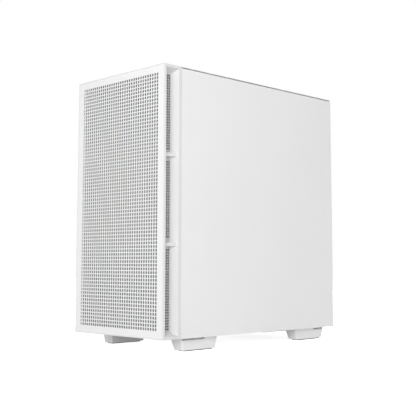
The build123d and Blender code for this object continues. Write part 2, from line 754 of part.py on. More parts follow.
def top_filter_cloth():
    """Fine cloth stretched inside the magnetic rim."""
    half = FIELD_X - GAP - TOP_RING
    ys = (FIELD_Y0 + GAP + TOP_RING, FIELD_Y1 - GAP - TOP_RING)
    z = DECK_TOP + GAP + (TOP_FILTER_T - CLOTH_T) / 2
    return block((-half, half), ys, (z, z + CLOTH_T))


def psu_filter():
    """Sliding dust filter under the power supply, with a pull tab at the rear."""
    ys = (UNDER_FILTER_Y1 - UNDER_FILTER_L, UNDER_FILTER_Y1)
    xs = around(PSU_XC, UNDER_FILTER_W)
    ring = (FILTER_RING, -FILTER_RING)
    hole = rect([x + r for x, r in zip(xs, ring)], [y + r for y, r in zip(ys, ring)])
    tray = sheet(level(UNDER_FILTER_Z0), rect(xs, ys), [hole], UNDER_FILTER_T)
    cloth_z = (UNDER_FILTER_Z1 - 2 * CLOTH_T, UNDER_FILTER_Z1 - CLOTH_T)
    tray += block(xs, ys, cloth_z)
    tab_w, tab_l = UNDER_FILTER_TAB
    tab_z = (UNDER_FILTER_Z0, UNDER_FILTER_Z1)
    return tray + block(around(PSU_XC, tab_w), (ys[1], ys[1] + tab_l), tab_z)


# Ports and buttons on the roof


def port_x(offset):
    """Place of a port or button along the roof strip."""
    return PORT_X0 + offset


def io_insert():
    """Moulded insert in the roof that frames the buttons and ports."""
    xs = (PORT_X0 + GAP, PORT_X0 + PORT_L - GAP)
    lap_x = (PORT_X0 - PORT_LAP, PORT_X0 + PORT_L + PORT_LAP)
    lap_y = around(PORT_Y, PORT_W + 2 * PORT_LAP)
    insert = block(xs, around(PORT_Y, PORT_W - 2 * GAP), (TOP_Z - STEEL, TOP_Z))
    insert += block(lap_x, lap_y, (INSERT_Z, TOP_Z - STEEL))
    posts = [(x, PORT_Y + s * PORT_W / 2) for x in (xs[0], xs[1]) for s in (-1, 1)]
    for x, y in posts:
        insert += rod((x, y, PORT_BOARD_Z), (0, 0, 1), POST_R, INSERT_Z - PORT_BOARD_Z)
    for offset, radius in ((POWER_AT, POWER_R), (RESET_AT, RESET_R), (JACK_AT, JACK_R)):
        insert -= rod((port_x(offset), PORT_Y, INSERT_Z), (0, 0, 1), radius + GAP, INSERT_T + STEEL)
    for offset in USB_AT:
        size = [s + 2 * GAP for s in USB_SIZE]
        insert -= block(around(port_x(offset), size[0]), around(PORT_Y, size[1]), (INSERT_Z, TOP_Z))
    return insert


def io_board():
    """Small circuit board under the insert, with the two push switches."""
    xs = (PORT_X0 - PORT_LAP, PORT_X0 + PORT_L + PORT_LAP)
    board = block(xs, around(PORT_Y, PORT_W + 2 * PORT_LAP), (PORT_BOARD_Z - PCB_T, PORT_BOARD_Z))
    for offset in (POWER_AT, RESET_AT):
        x = port_x(offset)
        body = (PORT_BOARD_Z, PORT_BOARD_Z + SWITCH_H)
        board += block(around(x, SWITCH_SIDE), around(PORT_Y, SWITCH_SIDE), body)
        bore = (x, PORT_Y, body[1] - SWITCH_BORE)
        board -= rod(bore, (0, 0, 1), STEM_R + BORE_PLAY, SWITCH_BORE)
    return board


def usb_port(offset):
    """Upright socket: a metal sleeve round a tongue."""
    x = port_x(offset)
    width, depth = USB_SIZE
    port = block(around(x, width), around(PORT_Y, depth), (PORT_BOARD_Z, TOP_Z))
    hollow = (TOP_Z - USB_DEEP, TOP_Z)
    port -= block(around(x, width - 2 * USB_WALL), around(PORT_Y, depth - 2 * USB_WALL), hollow)
    back = PORT_Y + depth / 2 - USB_WALL
    tongue_y = (back - TONGUE_GAP - TONGUE_T, back - TONGUE_GAP)
    return port + block(around(x, TONGUE_W), tongue_y, (hollow[0], TOP_Z - USB_WALL))


def io_ports():
    """Two sockets and a headphone jack."""
    jack = rod((port_x(JACK_AT), PORT_Y, PORT_BOARD_Z), (0, 0, 1), JACK_R, TOP_Z - PORT_BOARD_Z)
    jack -= rod((port_x(JACK_AT), PORT_Y, TOP_Z - JACK_BORE_L), (0, 0, 1), JACK_BORE_R, JACK_BORE_L)
    return Compound([usb_port(offset).solid() for offset in USB_AT] + [jack.solid()])


def push_button(offset, radius):
    """Button cap with a stem that reaches into its switch."""
    x = port_x(offset)
    top = TOP_Z + BUTTON_PROUD
    cap = rod((x, PORT_Y, top - BUTTON_CAP), (0, 0, 1), radius, BUTTON_CAP)
    cap = fillet(cap.edges().group_by(Axis.Z)[-1], BUTTON_EDGE_R)
    low = PORT_BOARD_Z + SWITCH_H - STEM_SUNK
    return cap + rod((x, PORT_Y, low), (0, 0, 1), STEM_R, top - BUTTON_CAP - low)


# Fans, drawn on their own axis with the air going up


def fan_frame(size, hole_inset):
    """Square fan housing with a round duct, four struts and the motor's fixed axle."""
    duct_r = size / 2 - FAN_WALL
    frame = extrude(RectangleRounded(size, size, FAN_R), FAN_T)
    waist = (FAN_FLANGE, FAN_T - FAN_FLANGE)
    waist_r = size / 2 + FAN_WALL
    corners = block(around(0, 2 * size), around(0, 2 * size), waist)
    corners -= rod((0, 0, waist[0]), (0, 0, 1), waist_r, waist[1] - waist[0])
    frame -= corners
    frame -= rod((0, 0, 0), (0, 0, 1), duct_r, FAN_T)
    for x, y in square_corners(size - 2 * hole_inset):
        frame -= rod((x, y, 0), (0, 0, 1), FAN_HOLE_R, FAN_T)
    back = (FAN_T - MOTOR_T, FAN_T)
    strut = block((HUB_R / 2, duct_r + FAN_WALL / 2), around(0, STRUT_W), back)
    for angle in (45, 135, 225, 315):
        frame += Rot(0, 0, angle) * strut
    frame += rod((0, 0, back[0]), (0, 0, 1), HUB_R, MOTOR_T)
    return frame + rod((0, 0, AXLE_TIP), (0, 0, 1), AXLE_R, FAN_T - AXLE_TIP)


def fan_rotor(size):
    """Hub with twisted blades, bored for the fixed axle."""
    tip_r = size / 2 - FAN_WALL - TIP_PLAY
    hub_top = FAN_T - MOTOR_T - HUB_PLAY
    hub = rod((0, 0, HUB_FRONT), (0, 0, 1), HUB_R, hub_top - HUB_FRONT)
    hub = fillet(hub.edges().filter_by(GeomType.CIRCLE).group_by(Axis.Z)[0], HUB_EDGE_R)
    middle = (HUB_FRONT + hub_top) / 2
    stations = ((HUB_R - BLADE_T, BLADE_ROOT, ROOT_ANGLE), (size / 2, BLADE_TIP, TIP_ANGLE))
    sections = []
    for radius, chord, angle in stations:
        plane = Plane(origin=(radius, 0, middle), x_dir=(0, 1, 0), z_dir=(1, 0, 0))
        sections.append(plane.location * (Rot(0, 0, angle) * Rectangle(chord, BLADE_T)))
    blade = loft(sections) & Solid.make_cylinder(tip_r, FAN_T)
    rotor = hub
    for i in range(BLADES):
        rotor += Rot(0, 0, 360 / BLADES * i) * blade
    bore_z = AXLE_TIP - HUB_PLAY
    return rotor - rod((0, 0, bore_z), (0, 0, 1), AXLE_R + BORE_PLAY, FAN_T - bore_z)


def along_depth(x, y, z):
    """Places a fan so that its air goes towards the rear."""
    return Plane(origin=(x, y, z), x_dir=(1, 0, 0), z_dir=(0, 1, 0)).location


def fan_screws():
    """Screws of the front and rear fans."""
    screws = []
    for z in FRONT_FAN_Z:
        for x, dz in square_corners(FAN_LARGE - 2 * FAN_LARGE_INSET):
            screws.append(pan_screw((x, FRAME_Y, z + dz), 1, FAN_SCREW_R, FAN_SCREW_L))
    for x, z in square_corners(REAR_FAN - 2 * FAN_SMALL_INSET):
        start = (REAR_FAN_X + x, BACK_Y, REAR_FAN_Z + z)
        screws.append(pan_screw(start, -1, FAN_SCREW_R, FAN_SCREW_L))
    return Compound(screws)


def pan_screw(seat, way, radius, length):
    """Screw along Y: the head stands on its seat, the shank runs the given way from it."""
    head = rod(seat, (0, -way, 0), SCREW_HEAD_R, SCREW_HEAD_T)
    return (head + rod(seat, (0, way, 0), radius, length)).solid()


# Power supply


def psu_screw_places():
    """Four screws near the corners of the power supply's rear face."""
    half = PSU_LIP / 2
    xs = (PSU_X0 + half, PSU_X1 - half)
    zs = (FLOOR_Z + half, FLOOR_Z + PSU_H - half)
    return [(x, z) for x in xs for z in zs]


def psu_case():
    """Steel box of the power supply: grille below, inlet, switch and vents at the rear."""
    xs = (PSU_X0, PSU_X1)
    ys = (PSU_Y0, BACK_IN)
    zs = (FLOOR_Z, FLOOR_Z + PSU_H)
    walls = [(lo + PSU_WALL, hi - PSU_WALL) for lo, hi in (xs, ys, zs)]
    case = block(xs, ys, zs) - block(walls[0], (walls[1][0], ys[1]), (zs[0], walls[2][1]))
    grille = round_field(PSU_XC, PSU_YC, PSU_VENT_R, PSU_VENT_HOLE, PSU_VENT_PITCH)
    case += sheet(level(zs[0]), rect(walls[0], (walls[1][0], ys[1])), grille, PSU_WALL)
    holes = [rect(around(INLET_X, INLET_BODY[0] + 2 * GAP), around(INLET_Z, INLET_BODY[1] + 2 * GAP))]
    size = rocker_body()
    holes.append(rect(around(ROCKER_X, size[0] + 2 * GAP), around(ROCKER_Z, size[1] + 2 * GAP)))
    vent_x = (ROCKER_X + size[0], PSU_X1 - PSU_LIP)
    vent_z = (zs[0] + PSU_LIP, zs[1] - PSU_LIP)
    hole = (PSU_VENT_HOLE, PSU_VENT_HOLE)
    holes += hole_field(vent_x, vent_z, hole, (PSU_VENT_PITCH, PSU_VENT_PITCH))
    holes += [disc(x, z, FAN_HOLE_R) for x, z in psu_screw_places()]
    return case + sheet(facing_front(ys[1]), rect(walls[0], (walls[2][0], walls[2][1])), holes, PSU_WALL)


def rocker_body():
    """Outside width and height of the mains switch body."""
    wall = 2 * (ROCKER_WALL + GAP)
    return (ROCKER_W + wall, 2 * ROCKER_R + wall)


def mains_inlet():
    """Three-pin appliance inlet and the body of the mains switch beside it."""
    flange_y = (BACK_IN, BACK_Y)
    inlet = block(around(INLET_X, INLET_FLANGE[0]), flange_y, around(INLET_Z, INLET_FLANGE[1]))
    floor_y = BACK_Y - INLET_DEEP
    body_y = (floor_y - INLET_BACK, BACK_Y)
    inlet += block(around(INLET_X, INLET_BODY[0]), body_y, around(INLET_Z, INLET_BODY[1]))
    inlet -= block(around(INLET_X, INLET_HOLE[0]), (floor_y, BACK_Y), around(INLET_Z, INLET_HOLE[1]))
    width, height = rocker_body()
    lip = 2 * ROCKER_FLANGE
    switch = block(around(ROCKER_X, width + lip), flange_y, around(ROCKER_Z, height + lip))
    depth = ROCKER_Y - ROCKER_R - GAP
    switch += block(around(ROCKER_X, width), (depth - ROCKER_WALL, BACK_Y), around(ROCKER_Z, height))
    hole = [side - 2 * ROCKER_WALL for side in (width, height)]
    switch -= block(around(ROCKER_X, hole[0]), (depth, BACK_Y), around(ROCKER_Z, hole[1]))
    switch -= pivot(PIVOT_R + BORE_PLAY, PIVOT_L + BORE_PLAY)
    return Compound([inlet.solid(), switch.solid()])


def pivot(radius, reach):
    """The rocker's pivot, reaching past the rocker into the switch body on both sides."""
    half = ROCKER_W / 2 + GAP + reach
    return rod((ROCKER_X - half, ROCKER_Y, ROCKER_Z), (1, 0, 0), radius, 2 * half)


def psu_switch():
    """Rocker of the mains switch, pressed in at its lower end."""
    drum = rod((ROCKER_X - ROCKER_W / 2, ROCKER_Y, ROCKER_Z), (1, 0, 0), ROCKER_R, ROCKER_W)
    reach = 2 * ROCKER_R
    for tilt in (0, 2 * ROCKER_TILT):
        cut = block(around(0, 2 * ROCKER_W), (ROCKER_DROP, ROCKER_DROP + reach), around(0, 4 * reach))
        drum -= Pos(ROCKER_X, ROCKER_Y, ROCKER_Z) * (Rot(-tilt, 0, 0) * cut)
    return drum + pivot(PIVOT_R, PIVOT_L)


def inlet_pins():
    """Three flat contact pins inside the inlet."""
    floor_y = BACK_Y - INLET_DEEP
    width, length, height = PIN_SIZE
    ys = (floor_y, floor_y + length)
    pins = []
    for dx, dz in PIN_AT:
        pin = block(around(INLET_X + dx, width), ys, around(INLET_Z + dz, height))
        pins.append(pin.solid())
    return Compound(pins)


# Main board


def on_board(ys, zs, height):
    """A block that stands on the component side of the main board."""
    return block((FACE_X - height, FACE_X), ys, zs)


def motherboard():
    """Printed circuit board with its screw holes."""
    holes = [disc(y, z, BOARD_SCREW_R + GAP) for y, z in board_holes()]
    outline = rect((BOARD_Y0, BOARD_Y1), (BOARD_Z0, BOARD_Z1))
    return sheet(facing_side(FACE_X), outline, holes, PCB_T)


def board_holes():
    """Screw places on the main board, along the tower and upwards."""
    return [(BOARD_Y1 - a, BOARD_Z1 - b) for a in BOARD_SCREW_AT for b in BOARD_SCREW_AT]


def standoffs():
    """Brass pillars between the tray and the main board."""
    pillars = []
    for y, z in board_holes():
        pillar = rod((SOLDER_X, y, z), (1, 0, 0), STANDOFF_R, STANDOFF_L)
        pillar -= rod((SOLDER_X, y, z), (1, 0, 0), BOARD_SCREW_R + BORE_PLAY, STANDOFF_L)
        pillars.append(pillar.solid())
    return Compound(pillars)


def case_screws():
    """Screws of the main board, the power supply and the slot covers."""
    screws = []
    for y, z in board_holes():
        head = rod((FACE_X - SCREW_HEAD_T, y, z), (1, 0, 0), STANDOFF_R, SCREW_HEAD_T)
        shank = rod((FACE_X, y, z), (1, 0, 0), BOARD_SCREW_R, PCB_T + BOARD_SCREW_SUNK)
        screws.append((head + shank).solid())
    places = psu_screw_places() + [(SLOT_X0 - COVER_TAB / 2, z) for z in SLOT_Z]
    screws += [pan_screw((x, BACK_Y, z), -1, FAN_SCREW_R, CASE_SCREW_L) for x, z in places]
    return Compound(screws)


def cpu_socket():
    """Frame that holds the processor."""
    return on_board(around(CPU_Y, SOCKET[0]), around(CPU_Z, SOCKET[1]), SOCKET[2])


def cpu():
    """Processor: a thin carrier under a metal lid."""
    x = FACE_X - SOCKET[2]
    carrier = block((x - CPU_SIZE[2], x), around(CPU_Y, CPU_SIZE[0]), around(CPU_Z, CPU_SIZE[1]))
    lid_x = (CPU_X, x - CPU_SIZE[2])
    return carrier + block(lid_x, around(CPU_Y, LID_SIZE[0]), around(CPU_Z, LID_SIZE[1]))


def finned_block(ys, zs, height):
    """Heat sink with grooves along the tower."""
    body = on_board(ys, zs, height)
    count = int((zs[1] - zs[0]) / GROOVE_PITCH)
    step = (zs[1] - zs[0]) / (count + 1)
    for i in range(count):
        groove_z = around(zs[0] + step * (i + 1), GROOVE_W)
        body -= block((FACE_X - height, FACE_X - height + GROOVE_D), ys, groove_z)
    return body.solid()


def board_heatsinks():
    """Heat sinks of the power stage, the chipset and the plug-in drive."""
    rear_y = (CPU_Y + VRM_W, BOARD_Y1 - PORT_BODY - BOARD_SCREW_AT[0])
    rear_z = (CPU_Z - VRM_W, CPU_Z + VRM_W)
    top_z = (CPU_Z + SOCKET[1], BOARD_Z1 - VRM_TOP_GAP)
    chip_y = around(BOARD_Y0 + CHIP_AT[0], CHIP_SIDE)
    chip_z = around(BOARD_Z0 + CHIP_AT[1], CHIP_SIDE)
    stick_y = (BOARD_Y1 - CARD_SLOT_BACK - CARD_SLOT[0], BOARD_Y1 - CARD_SLOT_BACK)
    sinks = [
        finned_block(rear_y, rear_z, VRM_H),
        finned_block(around(CPU_Y, VRM_W), top_z, VRM_H),
        finned_block(chip_y, chip_z, CHIP_H),
        finned_block(stick_y, around(SLOT_Z[1], STICK_W), STICK_H),
    ]
    return Compound(sinks)


def memory_ys():
    """Places of the memory slots along the tower."""
    return [CPU_Y - MEMORY_FRONT - MEMORY_PITCH * i for i in range(MEMORY_COUNT)]


def memory_slots():
    """Two long sockets for memory modules."""
    width, length, height = MEMORY_SLOT
    slots = []
    for y in memory_ys():
        slot = on_board(around(y, width), around(CPU_Z, length), height)
        groove_x = (FACE_X - height, FACE_X - height + MEMORY_SUNK)
        groove = MEMORY_PCB + 2 * GAP
        slot -= block(groove_x, around(y, groove), around(CPU_Z, MEMORY_L + 2 * GAP))
        slots.append(slot.solid())
    return Compound(slots)


def memory_modules():
    """Two memory modules with metal heat spreaders."""
    top = FACE_X - MEMORY_SLOT[2]
    modules = []
    for y in memory_ys():
        zs = around(CPU_Z, MEMORY_L)
        blade = block((top - MEMORY_H, top + MEMORY_SUNK), around(y, MEMORY_PCB), zs)
        blade += block((top - MEMORY_H, top - GAP), around(y, MEMORY_SPREADER), zs)
        modules.append(blade.solid())
    return Compound(modules)


def expansion_slots():
    """Two long card sockets."""
    slots = []
    for z in (SLOT_Z[0], SLOT_Z[2]):
        length, width, height = CARD_SLOT
        middle = BOARD_Y1 - CARD_SLOT_BACK - length / 2
        slot = on_board(around(middle, length), around(z, width), height)
        groove_x = (FACE_X - height, FACE_X - height + CARD_GROOVE[2])
        slot -= block(groove_x, around(middle, CARD_GROOVE[0]), around(z, CARD_GROOVE[1]))
        slots.append(slot.solid())
    return Compound(slots)


def power_sockets():
    """Main and processor power connectors."""
    deep = POWER_SOCKET[1]
    main_y = (BOARD_Y0 + POWER_EDGE, BOARD_Y0 + POWER_EDGE + deep)
    main = on_board(main_y, around(CPU_Z, POWER_SOCKET[0]), POWER_SOCKET[2])
    small_y = around(CPU_Y - MEMORY_FRONT, POWER_SMALL_L)
    small = on_board(small_y, (BOARD_Z1 - POWER_EDGE - deep, BOARD_Z1 - POWER_EDGE), POWER_SOCKET[2])
    return Compound([main.solid(), small.solid()])


def port_spans():
    """Limits of each rear port upwards, and how far it stands off the main board."""
    spans = [(around(OPEN_Z1 - at, width), height) for at, width, height in PORT_BLOCKS]
    return spans + [(around(OPEN_Z1 - AUDIO_AT, AUDIO_SIZE[0]), AUDIO_SIZE[1])]


def rear_ports():
    """Port blocks at the rear edge of the main board."""
    ys = (BOARD_Y1 - PORT_BODY, BACK_Y + PORT_PROUD)
    blocks = []
    for zs, height in port_spans():
        port = on_board(ys, zs, height)
        if height == AUDIO_SIZE[1]:
            for i in range(AUDIO_JACKS):
                x = FACE_X - height / 2 + (i - (AUDIO_JACKS - 1) / 2) * AUDIO_PITCH
                mouth = (x, ys[1] - PORT_DEEP, sum(zs) / 2)
                port -= rod(mouth, (0, 1, 0), JACK_BORE_R, PORT_DEEP)
        else:
            hollow_x = (FACE_X - height + PORT_WALL, FACE_X - PORT_WALL)
            hollow_z = (zs[0] + PORT_WALL, zs[1] - PORT_WALL)
            port -= block(hollow_x, (ys[1] - PORT_DEEP, ys[1]), hollow_z)
        blocks.append(port.solid())
    return Compound(blocks)


def io_shield():
    """Thin plate round the rear ports."""
    holes = []
    for (z0, z1), height in port_spans():
        holes.append(rect((FACE_X - height - GAP, FACE_X + GAP), (z0 - GAP, z1 + GAP)))
    outline = rect((OPEN_X0 + GAP, OPEN_X1 - GAP), (OPEN_Z0 + GAP, OPEN_Z1 - GAP))
    return sheet(facing_front(BACK_Y), outline, holes, SHIELD_T)


def slot_covers():
    """Blanking strips behind the card slots."""
    xs = (SLOT_X0 - COVER_TAB, SLOT_X1 + COVER_LAP)
    hole_x = SLOT_X0 - COVER_TAB / 2
    covers = []
    for z in SLOT_Z:
        hole = disc(hole_x, z, FAN_HOLE_R)
        covers.append(sheet(facing_front(BACK_IN), rect(xs, around(z, COVER_W)), [hole], STEEL))
    return Compound(covers)


# Processor cooler


def pipe_places():
    """Heat pipes about the middle of the processor, along the tower and upwards."""
    return [(CPU_Y + sy * PIPE_AT[0], CPU_Z + sz * PIPE_AT[1]) for sy in (-1, 1) for sz in (-1, 1)]


def cooler_base():
    """Block that sits on the processor, bored for the heat pipes."""
    low = CPU_X - BASE_SIZE[2]
    base = block((low, CPU_X), around(CPU_Y, BASE_SIZE[0]), around(CPU_Z, BASE_SIZE[1]))
    for y, z in pipe_places():
        base -= rod((low, y, z), (1, 0, 0), PIPE_R + BORE_PLAY, PIPE_SUNK)
    return base


def heat_pipes():
    """Four straight heat pipes."""
    start = FIN_XS[-1] - PIPE_PROUD
    length = CPU_X - BASE_SIZE[2] + PIPE_SUNK - start
    return Compound([rod((start, y, z), (1, 0, 0), PIPE_R, length) for y, z in pipe_places()])


def cooler_fins():
    """Stack of thin fins on the heat pipes."""
    fins = []
    for x in FIN_XS:
        holes = [disc(y, z, PIPE_R + BORE_PLAY) for y, z in pipe_places()]
        outline = rect(around(CPU_Y, FIN_SIZE[0]), around(CPU_Z, FIN_SIZE[1]))
        fins.append(sheet(facing_side(x), outline, holes, FIN_T))
    return Compound(fins)


# Drive bay


def drive_cage():
    """Folded steel cradle for the hard drive."""
    xs = (DRIVE_X0, DRIVE_X1)
    zs = (FLOOR_Z, FLOOR_Z + DRIVE_UP + DRIVE[2])
    cage = block(xs, (CAGE_Y0, CAGE_Y1), (FLOOR_Z, FLOOR_Z + STEEL))
    ledge_z = (FLOOR_Z + DRIVE_UP - STEEL, FLOOR_Z + DRIVE_UP)
    for wall, ledge in (
        ((CAGE_Y0, CAGE_Y0 + STEEL), (CAGE_Y0, CAGE_Y0 + DRIVE_LEDGE)),
        ((CAGE_Y1 - STEEL, CAGE_Y1), (CAGE_Y1 - DRIVE_LEDGE, CAGE_Y1)),
    ):
        cage += block(xs, wall, zs)
        cage += block(xs, ledge, ledge_z)
    return cage


def hard_drive():
    """Hard drive lying on the cradle's ledges."""
    ys = around((CAGE_Y0 + CAGE_Y1) / 2, DRIVE[1])
    zs = (FLOOR_Z + DRIVE_UP, FLOOR_Z + DRIVE_UP + DRIVE[2])
    return block((DRIVE_X0, DRIVE_X1), ys, zs)


def build_nodes():
    """Every piece of the tower by name."""
    large_frame = fan_frame(FAN_LARGE, FAN_LARGE_INSET)
    large_rotor = fan_rotor(FAN_LARGE)
    small_frame = fan_frame(FAN_SMALL, FAN_SMALL_INSET)
    small_rotor = fan_rotor(FAN_SMALL)
    upper = along_depth(0, FRAME_IN, FRONT_FAN_Z[0])
    lower = along_depth(0, FRAME_IN, FRONT_FAN_Z[1])
    rear = along_depth(REAR_FAN_X, BACK_IN - FAN_T, REAR_FAN_Z)
    cooler = along_depth(COOLER_FAN_X, COOLER_FAN_Y, CPU_Z)
    supply = Pos(PSU_XC, PSU_YC, FLOOR_Z + PSU_WALL)
    return {
        "front_mesh": front_mesh(),
        "front_bezel": front_bezel(),
        "front_snaps": front_snaps(),
        "side_vents": side_vents(),
        "front_filter_cloth": front_filter_cloth(),
        "front_filter_frame": front_filter_frame(),
        "front_frame": front_frame(),
        "floor_pan": floor_pan(),
        "rear_panel": rear_panel(),
        "roof_panel": roof_panel(),
        "motherboard_tray": motherboard_tray(),
        "psu_shroud": psu_shroud(),
        "feet": feet(),
        "foot_pads": foot_pads(),
        "right_panel": panel_shell([]),
        "right_panel_screws": panel_screws(1),
        "left_panel": left_panel(),
        "left_glass": left_glass(),
        "left_panel_screws": panel_screws(-1),
        "top_filter_frame": top_filter_frame(),
        "top_filter_cloth": top_filter_cloth(),
        "psu_filter": psu_filter(),
        "io_insert": io_insert(),
        "io_board": io_board(),
        "io_ports": io_ports(),
        "power_button": push_button(POWER_AT, POWER_R),
        "reset_button": push_button(RESET_AT, RESET_R),
        "front_fan_upper_frame": upper * large_frame,
        "front_fan_upper_rotor": upper * large_rotor,
        "front_fan_lower_frame": lower * large_frame,
        "front_fan_lower_rotor": lower * large_rotor,
        "rear_fan_frame": rear * fan_frame(REAR_FAN, FAN_SMALL_INSET),
        "rear_fan_rotor": rear * fan_rotor(REAR_FAN),
        "cooler_fan_frame": cooler * small_frame,
        "cooler_fan_rotor": cooler * small_rotor,
        "fan_screws": fan_screws(),
        "psu_case": psu_case(),
        "psu_fan_frame": supply * small_frame,
        "psu_fan_rotor": supply * small_rotor,
        "mains_inlet": mains_inlet(),
        "inlet_pins": inlet_pins(),
        "psu_switch": psu_switch(),
        "motherboard": motherboard(),
        "standoffs": standoffs(),
        "case_screws": case_screws(),
        "cpu_socket": cpu_socket(),
        "cpu": cpu(),
        "board_heatsinks": board_heatsinks(),
        "memory_slots": memory_slots(),
        "memory_modules": memory_modules(),
        "expansion_slots": expansion_slots(),
        "power_sockets": power_sockets(),
        "rear_ports": rear_ports(),
        "io_shield": io_shield(),
        "slot_covers": slot_covers(),
        "cooler_base": cooler_base(),
        "heat_pipes": heat_pipes(),
        "cooler_fins": cooler_fins(),
        "drive_cage": drive_cage(),
        "hard_drive": hard_drive(),
    }


def main():
    os.makedirs("parts", exist_ok=True)
    for name, shape in build_nodes().items():
        export_step(shape, f"parts/{name}.step")


if __name__ == "__main__":
    main()
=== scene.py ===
"""Looks of the desktop computer tower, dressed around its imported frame.

Metres, +Z up, front towards -Y, +X to the right of someone facing the front.
Named sizes are written in millimetres and scaled by MM where they are used.
"""
import bmesh
import bpy
import json
import math
from mathutils import Matrix, Vector


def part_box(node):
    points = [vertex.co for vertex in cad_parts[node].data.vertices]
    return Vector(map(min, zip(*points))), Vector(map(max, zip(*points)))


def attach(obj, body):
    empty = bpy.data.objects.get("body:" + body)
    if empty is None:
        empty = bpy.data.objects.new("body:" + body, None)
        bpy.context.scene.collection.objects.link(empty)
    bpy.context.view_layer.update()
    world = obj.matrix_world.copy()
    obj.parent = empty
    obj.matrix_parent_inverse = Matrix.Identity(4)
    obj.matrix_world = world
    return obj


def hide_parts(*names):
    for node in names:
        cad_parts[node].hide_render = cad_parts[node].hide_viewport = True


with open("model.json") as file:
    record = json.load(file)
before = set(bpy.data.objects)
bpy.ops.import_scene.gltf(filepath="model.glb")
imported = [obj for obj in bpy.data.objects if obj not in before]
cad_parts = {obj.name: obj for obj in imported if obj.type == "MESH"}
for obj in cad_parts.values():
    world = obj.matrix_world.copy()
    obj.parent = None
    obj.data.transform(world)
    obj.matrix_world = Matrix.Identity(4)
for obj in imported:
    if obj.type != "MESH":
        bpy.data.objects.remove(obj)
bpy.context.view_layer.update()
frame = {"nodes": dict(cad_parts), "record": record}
NODES = frame["nodes"]
RECORD = frame["record"]
MM = 0.001
WELD = 1e-6

# Camera, from the middle of the front panel's lower edge
CAMERA_OFF = (1024.3, -818.0, 110.5)
CAMERA_YAW = 45.21
CAMERA_PITCH = 5.97
CAMERA_ROLL = 0.09
FOCAL_PIXELS = 833.2
AXIS_PIXELS = -31.0
PICTURE_PIXELS = 416.0
SENSOR = 36.0

# Perforated front sheet and side strips
SHEET_PITCH = 5.54
SHEET_HOLE = (3.7, 4.2)
SHEET_T = 0.8
SHEET_CORNER = 0.9
SHEET_COLUMNS = 34
SHEET_ROWS = 70
SHEET_LAP = 0.3
STRIP_PITCH = 4.03
STRIP_HOLE = (3.3, 2.6)
STRIP_T = 0.5
STRIP_CORNER = 0.7
STRIP_COLUMNS = 5
STRIP_ROWS = 96
STRIP_FORWARD = 2.9
RIB_MARGIN = 8.0
RIB_SPACING = 135.0
RIB_UP = 1.3

# Nets of the dust filters
NET_SAG = 0.25
NET_CELLS = 24
NET_PITCH = 0.9
WAVE_CYCLE = 10 / math.pi
UNDER_RING = 7.0
UNDER_TAB = 5.0
UNDER_NET_DROP = 1.5
UNDER_BAYS = 3
UNDER_BAR = 3.0
UNDER_BAR_UP = 0.8
UNDER_EDGE = 0.3

# Screws; ratios are of the head's radius or thickness
HEAD_R = 3.6
HEAD_T = 1.8
HEAD_SIDES = 28
HEAD_RIM = 0.62
HEAD_CURVE = [(1.0, 0.45), (0.88, 0.82)]
CROSS_REACH = 0.9
CROSS_W = 0.5
CROSS_D = 1.0
SHANK_R = 1.8
SHANK_TIP = (0.7, 1.0)
BOARD_HEAD_R = 2.8
KNURL_TEETH = 36
KNURL_D = 0.35
KNURL_ANGLE = 30.0
THUMB_SHANK = [(1.2, 0.0), (1.7, 1.0)]
THUMB_NECK = 0.72
THUMB_FLANGE = 1.2
THUMB_EDGE = 0.4
THUMB_SINK = 0.3
THUMB_DISH = [(0.72, 1.0), (0.5, 1.0), (0.44, 0.3), (0.2, 0.3), (0.16, 1.2), (0, 1.2)]

# Things on the main board, as distances from its rear and top edges
CHOKES = [(60.5, 46.0 + 13.0 * i) for i in range(7)]
CAPACITORS = [(67.5, 47.0 + 9.5 * i) for i in range(9)]
CAPACITORS += [(74.0 + 8.4 * i, 42.0) for i in range(6)]
AUDIO_CAPACITORS = [(24.0 + 8.0 * i, 160.0 + 6.0 * (i % 2)) for i in range(4)]
CHIPS = [(30.0, 180.0), (33.0, 205.0), (150.0, 236.0), (205.0, 226.0), (222.0, 150.0), (200.0, 138.0)]
CHIPS += [(128.0, 150.0), (60.0, 168.0), (128.0, 45.0)]
HEADERS = [(40.0 + 27.0 * i, 239.0) for i in range(8)]
BATTERY = (176.0, 224.0)
DATA_SOCKETS = [(237.0, 165.0 + 14.0 * i) for i in range(4)]

# Their sizes: height off the board, length, width and edge radius; then turned outlines
CHOKE = (7.0, 9.2, 10.4, 0.7)
CHIP = (1.2, 6.0, 5.2, 0.15)
CHIP_LIFT = 0.2
CHIP_LEG = (0.7, 1.4, 0.4, 0.05)
CHIP_LEG_OUT = 3.4
CHIP_LEG_PITCH = 1.2
CHIP_LEGS = 4
HEADER = (2.5, 12.8, 5.0, 0.3)
PIN = (6.0, 0.64, 0.64, 0.08)
PIN_LIFT = 2.4
PIN_PITCH = 2.54
PIN_ROWS = 5
DATA_SOCKET = (8.0, 9.0, 11.0, 0.4)
DATA_TONGUE = (0.8, 2.0, 8.0, 0.1)
DATA_TONGUE_LIFT = 7.8
CAN_OUTLINE = [(0, 0), (2.9, 0), (3.1, 0.4), (3.1, 1.0), (2.85, 1.4), (3.1, 1.8), (3.1, 7.5)]
CAN_OUTLINE += [(2.7, 8.0), (0, 8.0)]
CAN_SIDES = 20
CELL_OUTLINE = [(0, 0.2), (8.6, 0.2), (9.4, 0.6), (10.0, 1.0), (10.0, 3.0), (9.6, 3.3), (9.2, 3.2), (0, 3.2)]
CELL_SIDES = 48
PLUG_CELL = 4.2
PLUG_WALL = 0.7
PLUG_FLOOR = 3.0
PLUG_FLOOR_EDGE = 0.3
PLUG_WALL_EDGE = 0.1
PLUG_LAP = 0.5

